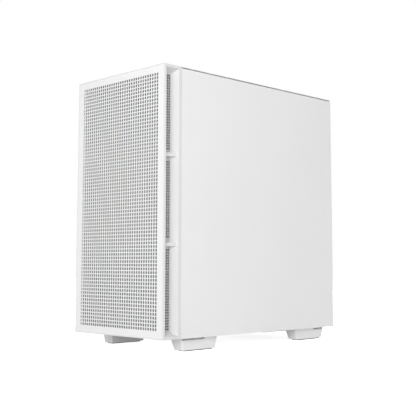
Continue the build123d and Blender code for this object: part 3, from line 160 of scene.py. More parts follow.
# Ports: tongues and contacts, and turned rings
REAR_STACK_H = 10.0
REAR_TONGUE_T = 1.8
REAR_TONGUE_EDGE = 0.2
REAR_TONGUE_SPAN = (10.0, 1.2)
REAR_TONGUE_SIDE = 2.2
REAR_CONTACT_SPAN = (8.0, 1.6)
REAR_CONTACT_W = 1.0
REAR_CONTACT_PROUD = 0.15
REAR_CONTACT_SUNK = 0.05
CONTACTS = 4
CONTACT_EDGE = 0.05
CONTACT_SPREAD = 4.8
JACK_PITCH = 9.5
JACK_SINK = 0.1
JACK_OUTLINE = [(2.0, 0), (3.4, 0), (3.4, 0.25), (3.2, 0.4), (2.2, 0.4), (2.0, 0.2)]
JACK_SIDES = 32
ROOF_SOCKET_MIN_L = 10.0
ROOF_TONGUE = (11.5, 2.1, 11.55)
ROOF_TONGUE_BACK = 1.35
ROOF_TONGUE_DOWN = 0.35
ROOF_TONGUE_EDGE = 0.15
ROOF_CONTACT = (1.2, 0.15, 8.1)
ROOF_CONTACT_DOWN = 0.9
ROOF_CONTACT_PITCH = 2.5
ROOF_CONTACT_SINK = 0.05
LIGHT_RING = [(0.5, -0.3), (1.3, -0.3), (1.3, 0.1), (1.1, 0.2), (0.7, 0.2), (0.5, 0.1)]
LIGHT_RING_SIDES = 64

# Fans
UPRIGHT_ROTORS = ("front_fan_upper_rotor", "front_fan_lower_rotor", "rear_fan_rotor", "cooler_fan_rotor")
FLAT_ROTOR = "psu_fan_rotor"
CAP_OUTLINE = [(0, -0.2), (16.5, -0.2), (16.5, 0.25), (16.0, 0.45), (13.2, 0.45), (13.0, 0.2), (12.4, 0.2)]
CAP_OUTLINE += [(12.2, 0.45), (0, 0.55)]
CAP_SIDES = 64

# Surfaces: grain and slow changes of tone, the net's threads, wiping marks and the board's traces
SMOOTH_ANGLE = 35.0
SLOW_SCALE = 7.0
SLOW_DETAIL = 2.0
FINE_DETAIL = 3.0
TONE_EDGES = (0.3, 0.7)
GLOSS_SPREAD = 0.08
THREAD_WAVER = 0.4
THREAD_EDGES = (0.35, 0.75)
THREAD_RELIEF = 0.1
THREAD_ROUGH = 0.8
THREAD_SHEEN = 0.15
WIPE_SCALE = 30.0
WIPE_STRETCH = (1, 1, 0.15)
WIPE_TONES = (0.9, 1.1)
WIPE_ROUGH = (0.02, 0.08)
TRACE_SCALE = 90.0
TRACE_W = 0.035
TRACE_RELIEF = 0.05
MASK_TONE = 1.25
MASK_GRAIN = 400.0
MASK_ROUGH = (0.3, 0.5)

# Studio, in metres and watts
FLOOR_REACH = 6.0
FLOOR_CELLS = 8
FLOOR_ALBEDO = 0.9
FLOOR_ROUGH = 0.9
FLOOR_GLOW = 0.86
WORLD_LEVEL = 0.455
LAMP_TARGET = (0, 0, 0.2)
LAMPS = [
    ("key_lamp", (1.3, -1.9, 0.5), 1.2, 35.5),
    ("side_lamp", (2.4, 1.0, 0.6), 1.4, 6.0),
    ("rear_lamp", (-1.9, 1.9, 0.9), 1.4, 30.0),
]


# Building meshes


def piece(name, source, body, slot, material, *stands_for):
    """A new piece that rides on a body, takes a slot's finish and may stand for CAD nodes; the slot argument
    itself is not used.
    """
    mesh = bpy.data.meshes.new(name)
    source.to_mesh(mesh)
    source.free()
    mesh.materials.append(material)
    obj = bpy.data.objects.new(name, mesh)
    bpy.context.scene.collection.objects.link(obj)
    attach(obj, body)
    if stands_for:
        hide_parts(*stands_for)
    return obj


def smooth_by_angle(obj, degrees=SMOOTH_ANGLE):
    """Shades rounded stretches smooth and keeps real edges sharp."""
    mesh = obj.data
    mesh.shade_smooth()
    mesh.set_sharp_from_angle(angle=math.radians(degrees))


def outward(bm):
    """A finished mesh, with its faces turned outwards."""
    bmesh.ops.recalc_face_normals(bm, faces=bm.faces[:])
    return bm


def add_pieces(body, *rows):
    """Puts finished meshes on a body; each row is a name, a mesh, a slot and a material."""
    for name, bm, slot, material in rows:
        smooth_by_angle(piece(name, outward(bm), body, slot, material))


def edged_box(bm, low, high, edge):
    """A box with rounded edges between two corners, all in millimetres."""
    verts = bmesh.ops.create_cube(bm, size=1.0)["verts"]
    for v in verts:
        v.co = Vector([(low[i] if v.co[i] < 0 else high[i]) * MM for i in range(3)])
    edges = list({e for v in verts for e in v.link_edges})
    bmesh.ops.bevel(bm, geom=edges, offset=edge * MM, segments=2, affect="EDGES", profile=0.5)


def turned(bm, base, direction, profile, sides, closed=False, teeth=0.0):
    """A turned shape: (radius, height) pairs swept round an axis from a base point, in millimetres."""
    turn = Vector((0, 0, 1)).rotation_difference(Vector(direction)).to_matrix()
    rings = []
    for radius, height in profile:
        if radius == 0:
            rings.append([bm.verts.new((Vector(base) + turn @ Vector((0, 0, height))) * MM)])
            continue
        ring = []
        for i in range(sides):
            angle = 2 * math.pi * i / sides
            reach = radius - teeth * (i % 2)
            spoke = Vector((reach * math.cos(angle), reach * math.sin(angle), height))
            ring.append(bm.verts.new((Vector(base) + turn @ spoke) * MM))
        rings.append(ring)
    pairs = list(zip(rings, rings[1:]))
    if closed:
        pairs.append((rings[-1], rings[0]))
    for lower, upper in pairs:
        for i in range(sides):
            j = (i + 1) % sides
            corners = [lower[i % len(lower)], lower[j % len(lower)]]
            corners += [upper[j % len(upper)], upper[i % len(upper)]]
            bm.faces.new(list(dict.fromkeys(corners)))


def cross_outline(reach, width):
    """Points of a plus sign about the origin, in order."""
    corner = [(reach, -width), (reach, width), (width, width)]
    points = []
    for quarter in range(4):
        c, s = math.cos(quarter * math.pi / 2), math.sin(quarter * math.pi / 2)
        points += [(x * c - y * s, x * s + y * c) for x, y in corner]
    return points


def cross_screw(bm, seat, direction, head_r, shank_l):
    """A pan-head screw with a cross recess: the head points along a direction from its seat."""
    turn = Vector((0, 0, 1)).rotation_difference(Vector(direction)).to_matrix()
    rim = HEAD_RIM * head_r
    tip_r, tip_l = SHANK_TIP
    profile = [(0, -shank_l), (SHANK_R * tip_r, -shank_l), (SHANK_R, tip_l - shank_l)]
    profile += [(SHANK_R, 0), (head_r, 0)]
    profile += [(r * head_r, h * HEAD_T) for r, h in HEAD_CURVE] + [(rim, HEAD_T)]
    turned(bm, seat, direction, profile, HEAD_SIDES)
    bm.verts.ensure_lookup_table()
    ring = [bm.verts[i] for i in range(len(bm.verts) - HEAD_SIDES, len(bm.verts))]
    layers = []
    for height in (HEAD_T, HEAD_T - CROSS_D):
        layer = []
        for x, y in cross_outline(CROSS_REACH * rim, CROSS_W):
            layer.append(bm.verts.new((Vector(seat) + turn @ Vector((x, y, height))) * MM))
        layers.append(layer)
    top, bottom = layers
    count = len(top)
    loop = [bm.edges.new((top[i], top[(i + 1) % count])) for i in range(count)]
    loop += [bm.edges.get((ring[i], ring[(i + 1) % HEAD_SIDES])) for i in range(HEAD_SIDES)]
    bmesh.ops.triangle_fill(bm, use_beauty=True, edges=loop)
    for i in range(count):
        j = (i + 1) % count
        bm.faces.new((top[i], top[j], bottom[j], bottom[i]))
    bm.faces.new(bottom)


def rounded_hole(size, radius):
    """Four corner arcs of a rounded rectangle, three points each, anticlockwise."""
    flat_u, flat_v = (side / 2 - radius for side in size)
    arcs = []
    for quarter, (sx, sy) in enumerate(((1, 1), (-1, 1), (-1, -1), (1, -1))):
        arc = []
        for k in range(3):
            angle = quarter * math.pi / 2 + k * math.pi / 4
            arc.append((sx * flat_u + radius * math.cos(angle), sy * flat_v + radius * math.sin(angle)))
        arcs.append(arc)
    return arcs


def perforated(bm, place, outline, centre, counts, pitch, hole, thickness, drilled=None):
    """A sheet with rounded holes on a grid, in millimetres.

    place turns a point on the sheet and a depth into the tower's frame, hole is a width and height
    and a corner radius, and drilled says whether the cells in a row have their holes.
    """
    arcs = rounded_hole(*hole)
    columns, rows = counts
    quads = ((1, 1), (0, 1), (0, 0), (1, 0))
    cells = [(i, j) for i in range(columns) for j in range(rows)]
    rings = {}
    rims = {}
    for depth in (0.0, thickness):
        grid = {}
        for i in range(columns + 1):
            for j in range(rows + 1):
                u = centre[0] + (i - columns / 2) * pitch
                v = centre[1] + (j - rows / 2) * pitch
                grid[i, j] = bm.verts.new(Vector(place(u, v, depth)) * MM)
        for i, j in cells:
            corners = [grid[i + a, j + b] for a, b in quads]
            if drilled and not drilled(j):
                bm.faces.new(corners)
                continue
            u = centre[0] + (i + 0.5 - columns / 2) * pitch
            v = centre[1] + (j + 0.5 - rows / 2) * pitch
            ring = [[bm.verts.new(Vector(place(u + x, v + y, depth)) * MM) for x, y in arc] for arc in arcs]
            for q in range(4):
                n = (q + 1) % 4
                bm.faces.new((corners[q], ring[q][0], ring[q][1]))
                bm.faces.new((corners[q], ring[q][1], ring[q][2]))
                bm.faces.new((corners[q], ring[q][2], ring[n][0], corners[n]))
            rings.setdefault((i, j), []).append([point for arc in ring for point in arc])
        (u0, u1), (v0, v1) = outline
        frame_corners = [bm.verts.new(Vector(place(u, v, depth)) * MM) for u, v in
                         ((u1, v1), (u0, v1), (u0, v0), (u1, v0))]
        sides = (
            [grid[i, rows] for i in range(columns + 1)],
            [grid[0, j] for j in range(rows + 1)],
            [grid[i, 0] for i in range(columns, -1, -1)],
            [grid[columns, j] for j in range(rows, -1, -1)],
        )
        for q, side in enumerate(sides):
            bm.faces.new([frame_corners[q], frame_corners[(q + 1) % 4]] + side)
        rims[depth] = frame_corners
    for near, far in rings.values():
        count = len(near)
        for k in range(count):
            bm.faces.new((near[k], near[(k + 1) % count], far[(k + 1) % count], far[k]))
    near, far = rims[0.0], rims[thickness]
    for q in range(4):
        bm.faces.new((near[q], near[(q + 1) % 4], far[(q + 1) % 4], far[q]))


def in_mm(node):
    """Lowest and highest corners of a CAD node, in millimetres."""
    low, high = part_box(node)
    return low / MM, high / MM


def solids_of(node):
    """Corners of each separate solid in a CAD node, in millimetres."""
    mesh = NODES[node].data
    places = [tuple(round(c, 6) for c in v.co) for v in mesh.vertices]
    parent = {p: p for p in places}

    def root(p):
        while parent[p] != p:
            parent[p] = parent[parent[p]]
            p = parent[p]
        return p

    for polygon in mesh.polygons:
        corners = [root(places[i]) for i in polygon.vertices]
        for other in corners[1:]:
            parent[root(other)] = root(corners[0])
    groups = {}
    for p in parent:
        groups.setdefault(root(p), []).append(p)
    boxes = []
    for points in groups.values():
        low = Vector([min(p[i] for p in points) for i in range(3)]) / MM
        high = Vector([max(p[i] for p in points) for i in range(3)]) / MM
        boxes.append((low, high))
    return sorted(boxes, key=lambda b: [round(c, 2) for c in b[0]])


# Materials


def blank(name):
    """A material with its node tree, its shader and object coordinates."""
    material = bpy.data.materials.new(name)
    material.use_nodes = True
    tree = material.node_tree
    coords = tree.nodes.new("ShaderNodeTexCoord").outputs["Object"]
    return material, tree, tree.nodes["Principled BSDF"], coords


def stretched(tree, coords, scale):
    """Coordinates scaled differently along each axis."""
    mapping = tree.nodes.new("ShaderNodeMapping")
    mapping.inputs["Scale"].default_value = scale
    tree.links.new(coords, mapping.inputs["Vector"])
    return mapping.outputs["Vector"]


def noise(tree, coords, scale, detail=FINE_DETAIL):
    """A noise pattern; the scale is cycles per metre."""
    node = tree.nodes.new("ShaderNodeTexNoise")
    node.inputs["Scale"].default_value = scale
    node.inputs["Detail"].default_value = detail
    tree.links.new(coords, node.inputs["Vector"])
    return node.outputs["Fac"]


def ramp(tree, factor, low, high, between=TONE_EDGES):
    """A colour that runs between two colours as a factor rises between two values."""
    node = tree.nodes.new("ShaderNodeValToRGB")
    ends = node.color_ramp.elements
    ends[0].position, ends[1].position = between
    ends[0].color = (*low, 1.0)
    ends[1].color = (*high, 1.0)
    tree.links.new(factor, node.inputs["Fac"])
    return node.outputs["Color"]


def spread(tree, factor, low, high):
    """A number that runs between two limits as a factor goes from 0 to 1."""
    node = tree.nodes.new("ShaderNodeMapRange")
    node.inputs["To Min"].default_value = low
    node.inputs["To Max"].default_value = high
    tree.links.new(factor, node.inputs["Value"])
    return node.outputs["Result"]


def raised(tree, shader, height, depth):
    """Fine relief; the depth is in metres."""
    node = tree.nodes.new("ShaderNodeBump")
    node.inputs["Distance"].default_value = depth
    node.inputs["Strength"].default_value = 1.0
    tree.links.new(height, node.inputs["Height"])
    tree.links.new(node.outputs["Normal"], shader.inputs["Normal"])


def shade(colour, factor):
    """A colour made lighter or darker."""
    return tuple(min(1.0, c * factor) for c in colour)


def grained(name, colour, vary, rough, grain, depth, metallic=0.0, stretch=(1, 1, 1), specular=0.5):
    """Paint, plastic or metal with a fine grain, a slow change of tone and uneven gloss."""
    material, tree, shader, coords = blank(name)
    fine = noise(tree, stretched(tree, coords, stretch), grain)
    slow = noise(tree, coords, SLOW_SCALE, SLOW_DETAIL)
    tone = ramp(tree, slow, shade(colour, 1 - vary), shade(colour, 1 + vary))
    tree.links.new(tone, shader.inputs["Base Color"])
    gloss = spread(tree, fine, rough - GLOSS_SPREAD, rough + GLOSS_SPREAD)
    tree.links.new(gloss, shader.inputs["Roughness"])
    shader.inputs["Metallic"].default_value = metallic
    shader.inputs["Specular IOR Level"].default_value = specular
    raised(tree, shader, fine, depth)
    return material


def woven(name, thread, gap, pitch):
    """Fine net: threads along two directions, darker between them."""
    material, tree, shader, coords = blank(name)
    bands = []
    for along in ((1, 0, 0), (0, 1, 1)):
        wave = tree.nodes.new("ShaderNodeTexWave")
        wave.wave_type = "BANDS"
        wave.bands_direction = "X"
        wave.inputs["Scale"].default_value = 1.0
        wave.inputs["Distortion"].default_value = THREAD_WAVER
        way = tree.nodes.new("ShaderNodeVectorMath")
        way.operation = "DOT_PRODUCT"
        way.inputs[1].default_value = Vector(along) / (pitch * MM * WAVE_CYCLE)
        tree.links.new(coords, way.inputs[0])
        tree.links.new(way.outputs["Value"], wave.inputs["Vector"])
        bands.append(wave.outputs["Fac"])
    top = tree.nodes.new("ShaderNodeMath")
    top.operation = "MAXIMUM"
    tree.links.new(bands[0], top.inputs[0])
    tree.links.new(bands[1], top.inputs[1])
    tone = ramp(tree, top.outputs["Value"], gap, thread, THREAD_EDGES)
    tree.links.new(tone, shader.inputs["Base Color"])
    shader.inputs["Roughness"].default_value = THREAD_ROUGH
    shader.inputs["Sheen Weight"].default_value = THREAD_SHEEN
    raised(tree, shader, top.outputs["Value"], THREAD_RELIEF * MM)
    return material


def clear_glass(name, tint, cover):
    """Tempered glass that lets light straight through, with faint wiping marks in its gloss."""
    material, tree, shader, coords = blank(name)
    marks = noise(tree, stretched(tree, coords, WIPE_STRETCH), WIPE_SCALE)
    tone = ramp(tree, marks, *(shade(tint, factor) for factor in WIPE_TONES))
    tree.links.new(tone, shader.inputs["Base Color"])
    shader.inputs["Alpha"].default_value = cover
    tree.links.new(spread(tree, marks, *WIPE_ROUGH), shader.inputs["Roughness"])
    return material


def circuit_board(name, mask, trace):
    """Solder mask over fine traces."""
    material, tree, shader, coords = blank(name)
    brick = tree.nodes.new("ShaderNodeTexBrick")
    brick.inputs["Scale"].default_value = TRACE_SCALE
    brick.inputs["Mortar Size"].default_value = TRACE_W
    brick.inputs["Color1"].default_value = (*mask, 1.0)
    brick.inputs["Color2"].default_value = (*shade(mask, MASK_TONE), 1.0)
    brick.inputs["Mortar"].default_value = (*trace, 1.0)
    swap = tree.nodes.new("ShaderNodeMapping")
    swap.inputs["Rotation"].default_value = (0, math.pi / 2, math.pi / 2)
    tree.links.new(coords, swap.inputs["Vector"])
    tree.links.new(swap.outputs["Vector"], brick.inputs["Vector"])
    tree.links.new(brick.outputs["Color"], shader.inputs["Base Color"])
    fine = noise(tree, coords, MASK_GRAIN)
    tree.links.new(spread(tree, fine, *MASK_ROUGH), shader.inputs["Roughness"])
    raised(tree, shader, brick.outputs["Fac"], TRACE_RELIEF * MM)
    return material


# Finishes: a colour, its change of tone, roughness, grain per metre and depth of the grain, then for
# metals how metallic they are and which way the grain is drawn out
WHITE_STEEL = (0.82, 0.82, 0.82)
WHITE_PLASTIC = (0.72, 0.72, 0.72)
MATERIALS = {
    "white_steel": grained("powder_coat_white", WHITE_STEEL, 0.008, 0.5, 1100.0, 0.02 * MM, specular=0.3),
    "white_mesh": grained("sheet_paint_white", WHITE_STEEL, 0.008, 0.5, 1400.0, 0.015 * MM, specular=0.3),
    "white_plastic": grained("moulded_white", WHITE_PLASTIC, 0.008, 0.55, 1800.0, 0.02 * MM, specular=0.3),
    "pad_rubber": grained("pad_rubber", (0.12, 0.12, 0.12), 0.1, 0.8, 900.0, 0.05 * MM),
    # The nets' dark grey is partly the cloth's own colour and partly painted shade: behind the front sheet it
    # darkens the holes, where the inside of the case lies in shade.
    "filter_cloth": woven("filter_net", (0.3, 0.3, 0.305), (0.1, 0.1, 0.1), NET_PITCH),
    "filter_rim": grained("filter_rim", (0.55, 0.55, 0.55), 0.03, 0.6, 1200.0, 0.02 * MM),
    "white_screws": grained("screw_paint_white", (0.74, 0.74, 0.735), 0.02, 0.4, 1500.0, 0.01 * MM),
    "glass": clear_glass("tempered_glass", (0.3, 0.34, 0.335), 0.14),
    "circuit_board": circuit_board("solder_mask", (0.012, 0.013, 0.014), (0.03, 0.032, 0.034)),
    "bright_steel": grained("nickel_plate", (0.62, 0.61, 0.59), 0.05, 0.3, 900.0, 0.01 * MM, 1.0, (1, 1, 12)),
    "fan_plastic": grained("fan_moulding", (0.7, 0.7, 0.7), 0.015, 0.45, 1300.0, 0.015 * MM),
    "black_steel": grained("powder_coat_black", (0.02, 0.02, 0.021), 0.1, 0.5, 1100.0, 0.02 * MM),
    "black_plastic": grained("moulded_black", (0.018, 0.018, 0.018), 0.1, 0.45, 1500.0, 0.015 * MM),
    "brass": grained("copper_and_brass", (0.72, 0.4, 0.25), 0.08, 0.3, 700.0, 0.01 * MM, 1.0, (6, 1, 1)),
    "aluminium": grained("mill_aluminium", (0.7, 0.7, 0.71), 0.05, 0.35, 800.0, 0.01 * MM, 1.0, (1, 10, 1)),
    "dark_metal": grained("anodised_dark", (0.06, 0.06, 0.064), 0.1, 0.4, 900.0, 0.01 * MM, 0.9, (1, 8, 1)),
}
# Mid grey for the strips deep in the side air gaps, darker than the case's white: painted shade in the
# recess.
STRIP_SHADE_GREY = grained("strip_painted_shade", (0.56, 0.56, 0.56), 0.02, 0.6, 1400.0, 0.015 * MM, specular=0.3)
CONTACT_GOLD = grained("contact_gold", (0.8, 0.58, 0.24), 0.05, 0.25, 900.0, 0.005 * MM, 1.0)
TONGUE_BLUE = grained("tongue_blue", (0.04, 0.12, 0.42), 0.06, 0.45, 900.0, 0.01 * MM)
LIGHT_GUIDE = grained("light_guide", (0.6, 0.66, 0.7), 0.03, 0.25, 900.0, 0.005 * MM)
CAN_SLEEVE = grained("capacitor_can", (0.45, 0.45, 0.46), 0.06, 0.3, 900.0, 0.01 * MM, 0.9)
CHOKE_GREY = grained("choke_grey", (0.12, 0.12, 0.125), 0.1, 0.5, 900.0, 0.02 * MM)
# The feet take the steel's lighter white instead of the white plastic's: painted light standing in for light
# bounced up from the floor.
FEET_PAINTED_BOUNCE = grained("foot_white_painted_bounce", WHITE_STEEL, 0.01, 0.55, 1800.0, 0.02 * MM, specular=0.3)
SPREADER_GREY = grained("spreader_grey", (0.34, 0.34, 0.35), 0.06, 0.4, 900.0, 0.01 * MM, 0.7, (1, 8, 1))
HEATSINK_GREY = grained("heatsink_grey", (0.16, 0.16, 0.165), 0.08, 0.4, 900.0, 0.01 * MM, 0.8, (1, 8, 1))
JACK_TONES = ((0.12, 0.35, 0.6), (0.2, 0.55, 0.2), (0.75, 0.35, 0.4))
JACK_COLOURS = [grained(f"jack_{i}", tone, 0.04, 0.4, 900.0, 0.01 * MM) for i, tone in enumerate(JACK_TONES)]

NODE_FINISHES = {"feet": FEET_PAINTED_BOUNCE, "memory_modules": SPREADER_GREY, "board_heatsinks": HEATSINK_GREY}

for part in RECORD["subparts"]:
    mesh = NODES[part["node"]].data
    mesh.materials.clear()
    mesh.materials.append(NODE_FINISHES.get(part["node"], MATERIALS[part["material_slot"]]))


# Front panel and dust filters


def front_sheet():
    """Fine perforated sheet over the whole front."""
    low, high = in_mm("front_mesh")
    outline = ((low.x - SHEET_LAP, high.x + SHEET_LAP), (low.z - SHEET_LAP, high.z + SHEET_LAP))
    centre = ((low.x + high.x) / 2, (low.z + high.z) / 2)
    counts = (SHEET_COLUMNS, SHEET_ROWS)
    bm = bmesh.new()
    perforated(bm, lambda u, v, w: (u, low.y + w, v), outline, centre, counts, SHEET_PITCH,
               (SHEET_HOLE, SHEET_CORNER), SHEET_T)
    paint = MATERIALS["white_mesh"]
    piece("front_sheet", outward(bm), "front_panel", "white_mesh", paint, "front_mesh")


def side_strips():
    """Fine perforated strips inside the two side air gaps, left plain beside the ribs; their mid grey is
    painted shade for the deep gaps.
    """
    bm = bmesh.new()
    middle = STRIP_ROWS / 2

    def drilled(row):
        off = (row + 0.5 - middle) * STRIP_PITCH - RIB_UP
        return abs(abs(off) - RIB_SPACING / 2) > RIB_MARGIN

    for low, high in solids_of("side_vents"):
        outline = ((low.y, high.y), (low.z, high.z))
        centre = ((low.y + high.y) / 2 - STRIP_FORWARD, (low.z + high.z) / 2)
        outer = high.x if low.x > 0 else low.x
        inward = -1 if low.x > 0 else 1
        perforated(bm, lambda u, v, w: (outer + inward * w, u, v), outline, centre,
                   (STRIP_COLUMNS, STRIP_ROWS), STRIP_PITCH, (STRIP_HOLE, STRIP_CORNER), STRIP_T, drilled)
    piece("side_strips", outward(bm), "front_panel", "white_mesh", STRIP_SHADE_GREY, "side_vents")


def net(name, span, body, across, sag, *stands_for):
    """Net stretched between two corners; it sags a little between its edges."""
    low, high = span
    flat = [i for i in range(3) if i != across]
    size = [high[i] - low[i] for i in flat]
    level = (low[across] + high[across]) / 2
    bm = bmesh.new()
    rows = []
    for i in range(NET_CELLS + 1):
        row = []
        for j in range(NET_CELLS + 1):
            s, t = i / NET_CELLS, j / NET_CELLS
            co = [0.0, 0.0, 0.0]
            co[flat[0]] = low[flat[0]] + size[0] * s
            co[flat[1]] = low[flat[1]] + size[1] * t
            co[across] = level + sag * math.sin(math.pi * s) * math.sin(math.pi * t)
            row.append(bm.verts.new(Vector(co) * MM))
        rows.append(row)
    for i in range(NET_CELLS):
        for j in range(NET_CELLS):
            bm.faces.new((rows[i][j], rows[i + 1][j], rows[i + 1][j + 1], rows[i][j + 1]))
    obj = piece(name, outward(bm), body, "filter_cloth", MATERIALS["filter_cloth"], *stands_for)
    smooth_by_angle(obj)


def under_filter():
    """Net and cross bars in the sliding filter under the power supply."""
    low, high = in_mm("psu_filter")
    low = low + Vector((UNDER_RING, UNDER_RING, 0))
    high = high - Vector((UNDER_RING, UNDER_RING + UNDER_TAB, UNDER_NET_DROP))
    net("under_filter_net", (Vector((low.x, low.y, high.z)), high), "psu_filter", 2, -NET_SAG)
    bm = bmesh.new()
    for axis in (0, 1):
        for k in range(1, UNDER_BAYS):
            start, stop = Vector(low), Vector(high)
            at = low[axis] + (high[axis] - low[axis]) * k / UNDER_BAYS
            start[axis], stop[axis] = at - UNDER_BAR / 2, at + UNDER_BAR / 2
            edged_box(bm, start + Vector((0, 0, UNDER_BAR_UP)), stop, UNDER_EDGE)
    add_pieces("psu_filter", ("under_filter_bars", bm, "white_plastic", MATERIALS["white_plastic"]))


front_sheet()
side_strips()
# The front net's dark grey also paints the shade inside the case behind the front sheet's holes.
net("front_filter_net", in_mm("front_filter_cloth"), "front_panel", 1, NET_SAG, "front_filter_cloth")
net("top_filter_net", in_mm("top_filter_cloth"), "top_filter", 2, -NET_SAG, "top_filter_cloth")
under_filter()


# Screws


def screw_heads():
    """Cross-head screws of the fans, the main board, the power supply and the slot covers."""
    fans = bmesh.new()
    for low, high in solids_of("fan_screws"):
        middle = (low + high) / 2
        shank = high.y - low.y - HEAD_T
        way = -1 if middle.y < 0 else 1
        seat = low.y + HEAD_T if way < 0 else high.y - HEAD_T
        cross_screw(fans, (middle.x, seat, middle.z), (0, way, 0), HEAD_R, shank)
    case = bmesh.new()
    for low, high in solids_of("case_screws"):
        middle = (low + high) / 2
        if high.z - low.z > BOARD_HEAD_R + HEAD_R:
            shank = high.y - low.y - HEAD_T
            cross_screw(case, (middle.x, high.y - HEAD_T, middle.z), (0, 1, 0), HEAD_R, shank)
        else:
            shank = high.x - low.x - HEAD_T
            cross_screw(case, (low.x + HEAD_T, middle.y, middle.z), (-1, 0, 0), BOARD_HEAD_R, shank)
    steel = MATERIALS["bright_steel"]
    smooth_by_angle(piece("fan_screw_heads", outward(fans), "chassis", "bright_steel", steel, "fan_screws"))
    smooth_by_angle(piece("case_screw_heads", outward(case), "chassis", "bright_steel", steel, "case_screws"))


def thumbscrews(node, panel, body):
    """Knurled thumbscrews with a groove round a raised centre, which has a round pit in its middle."""
    bm = bmesh.new()
    seat_y = in_mm(panel)[1].y
    for low, high in solids_of(node):
        middle = (low + high) / 2
        radius = (high.x - low.x) / 2
        length = high.y - low.y
        head = high.y - seat_y
        seat = (middle.x, seat_y, middle.z)
        neck = THUMB_NECK * radius
        shank = [(0, head - length)] + [(r, head - length + up) for r, up in THUMB_SHANK]
        shank.append((THUMB_SHANK[-1][0], 0))
        flange = [(neck, 0), (neck, THUMB_FLANGE), (radius - THUMB_EDGE, THUMB_FLANGE)]
        flange.append((radius, THUMB_FLANGE + THUMB_EDGE))
        rim = [(radius, head - THUMB_EDGE - THUMB_SINK), (radius - THUMB_EDGE, head - THUMB_SINK)]
        dish = [(r * radius, head - down) for r, down in THUMB_DISH]
        turned(bm, seat, (0, 1, 0), shank + flange, 2 * KNURL_TEETH)
        turned(bm, seat, (0, 1, 0), [flange[-1], rim[0]], 2 * KNURL_TEETH, teeth=KNURL_D)
        turned(bm, seat, (0, 1, 0), rim + dish, 2 * KNURL_TEETH)
    bmesh.ops.remove_doubles(bm, verts=bm.verts[:], dist=WELD)
    name = node.replace("panel_screws", "thumbscrews")
    obj = piece(name, outward(bm), body, "white_screws", MATERIALS["white_screws"], node)
    smooth_by_angle(obj, KNURL_ANGLE)


screw_heads()
thumbscrews("right_panel_screws", "right_panel", "right_side")
thumbscrews("left_panel_screws", "left_panel", "left_side")


# Main board


def on_board(back, down):
    """A place on the component side of the main board, from its rear and top edges."""
    low, high = in_mm("motherboard")
    return Vector((low.x, high.y - back, high.z - down))


def standing(bm, at, size, lift=0.0):
    """A box on the main board at a place; its size is a height, a length, a width and an edge radius."""
    height, length, width, edge = size
    half = Vector((0, length / 2, width / 2))
    edged_box(bm, at - half - Vector((lift + height, 0, 0)), at + half - Vector((lift, 0, 0)), edge)


def board_parts():
    """Capacitors, chokes, chips, pin headers, sockets and the coin cell."""
    cans = bmesh.new()
    for back, down in CAPACITORS + AUDIO_CAPACITORS:
        turned(cans, on_board(back, down), (-1, 0, 0), CAN_OUTLINE, CAN_SIDES)
    chokes = bmesh.new()
    for back, down in CHOKES:
        standing(chokes, on_board(back, down), CHOKE)
    chips = bmesh.new()
    for back, down in CHIPS:
        at = on_board(back, down)
        standing(chips, at, CHIP, CHIP_LIFT)
        for k in range(CHIP_LEGS):
            for side in (-1, 1):
                off = (k - (CHIP_LEGS - 1) / 2) * CHIP_LEG_PITCH
                standing(chips, at + Vector((0, side * CHIP_LEG_OUT, off)), CHIP_LEG)
    headers = bmesh.new()
    pins = bmesh.new()
    for back, down in HEADERS:
        at = on_board(back, down)
        standing(headers, at, HEADER)
        for k in range(PIN_ROWS):
            for side in (-1, 1):
                off = (k - (PIN_ROWS - 1) / 2) * PIN_PITCH
                standing(pins, at + Vector((0, off, side * PIN_PITCH / 2)), PIN, PIN_LIFT)
    for back, down in DATA_SOCKETS:
        at = on_board(back, down)
        standing(headers, at, DATA_SOCKET)
        standing(pins, at, DATA_TONGUE, DATA_TONGUE_LIFT)
    cell = bmesh.new()
    turned(cell, on_board(*BATTERY), (-1, 0, 0), CELL_OUTLINE, CELL_SIDES)
    add_pieces(
        "chassis",
        ("board_capacitors", cans, "aluminium", CAN_SLEEVE),
        ("board_chokes", chokes, "dark_metal", CHOKE_GREY),
        ("board_chips", chips, "black_plastic", MATERIALS["black_plastic"]),
        ("board_headers", headers, "black_plastic", MATERIALS["black_plastic"]),
        ("board_pins", pins, "brass", CONTACT_GOLD),
        ("board_cell", cell, "bright_steel", MATERIALS["bright_steel"]),
    )


def power_plug_sockets():
    """Power sockets on the main board, with their two rows of square cells."""
    bm = bmesh.new()
    for low, high in solids_of("power_sockets"):
        edged_box(bm, (high.x - PLUG_FLOOR, low.y, low.z), high, PLUG_FLOOR_EDGE)
        top = Vector((high.x - PLUG_FLOOR + PLUG_LAP, high.y, high.z))
        long = 2 if high.z - low.z > high.y - low.y else 1
        cells = {long: round((high[long] - low[long]) / PLUG_CELL), 3 - long: 2}
        for axis, count in cells.items():
            for k in range(count + 1):
                start, stop = Vector(low), Vector(top)
                at = low[axis] + (high[axis] - low[axis]) * k / count
                start[axis] = max(low[axis], at - PLUG_WALL / 2)
                stop[axis] = min(high[axis], at + PLUG_WALL / 2)
                edged_box(bm, start, stop, PLUG_WALL_EDGE)
    black = MATERIALS["black_plastic"]
    piece("board_power_sockets", outward(bm), "chassis", "black_plastic", black, "power_sockets")


board_parts()
power_plug_sockets()


# Ports and switches


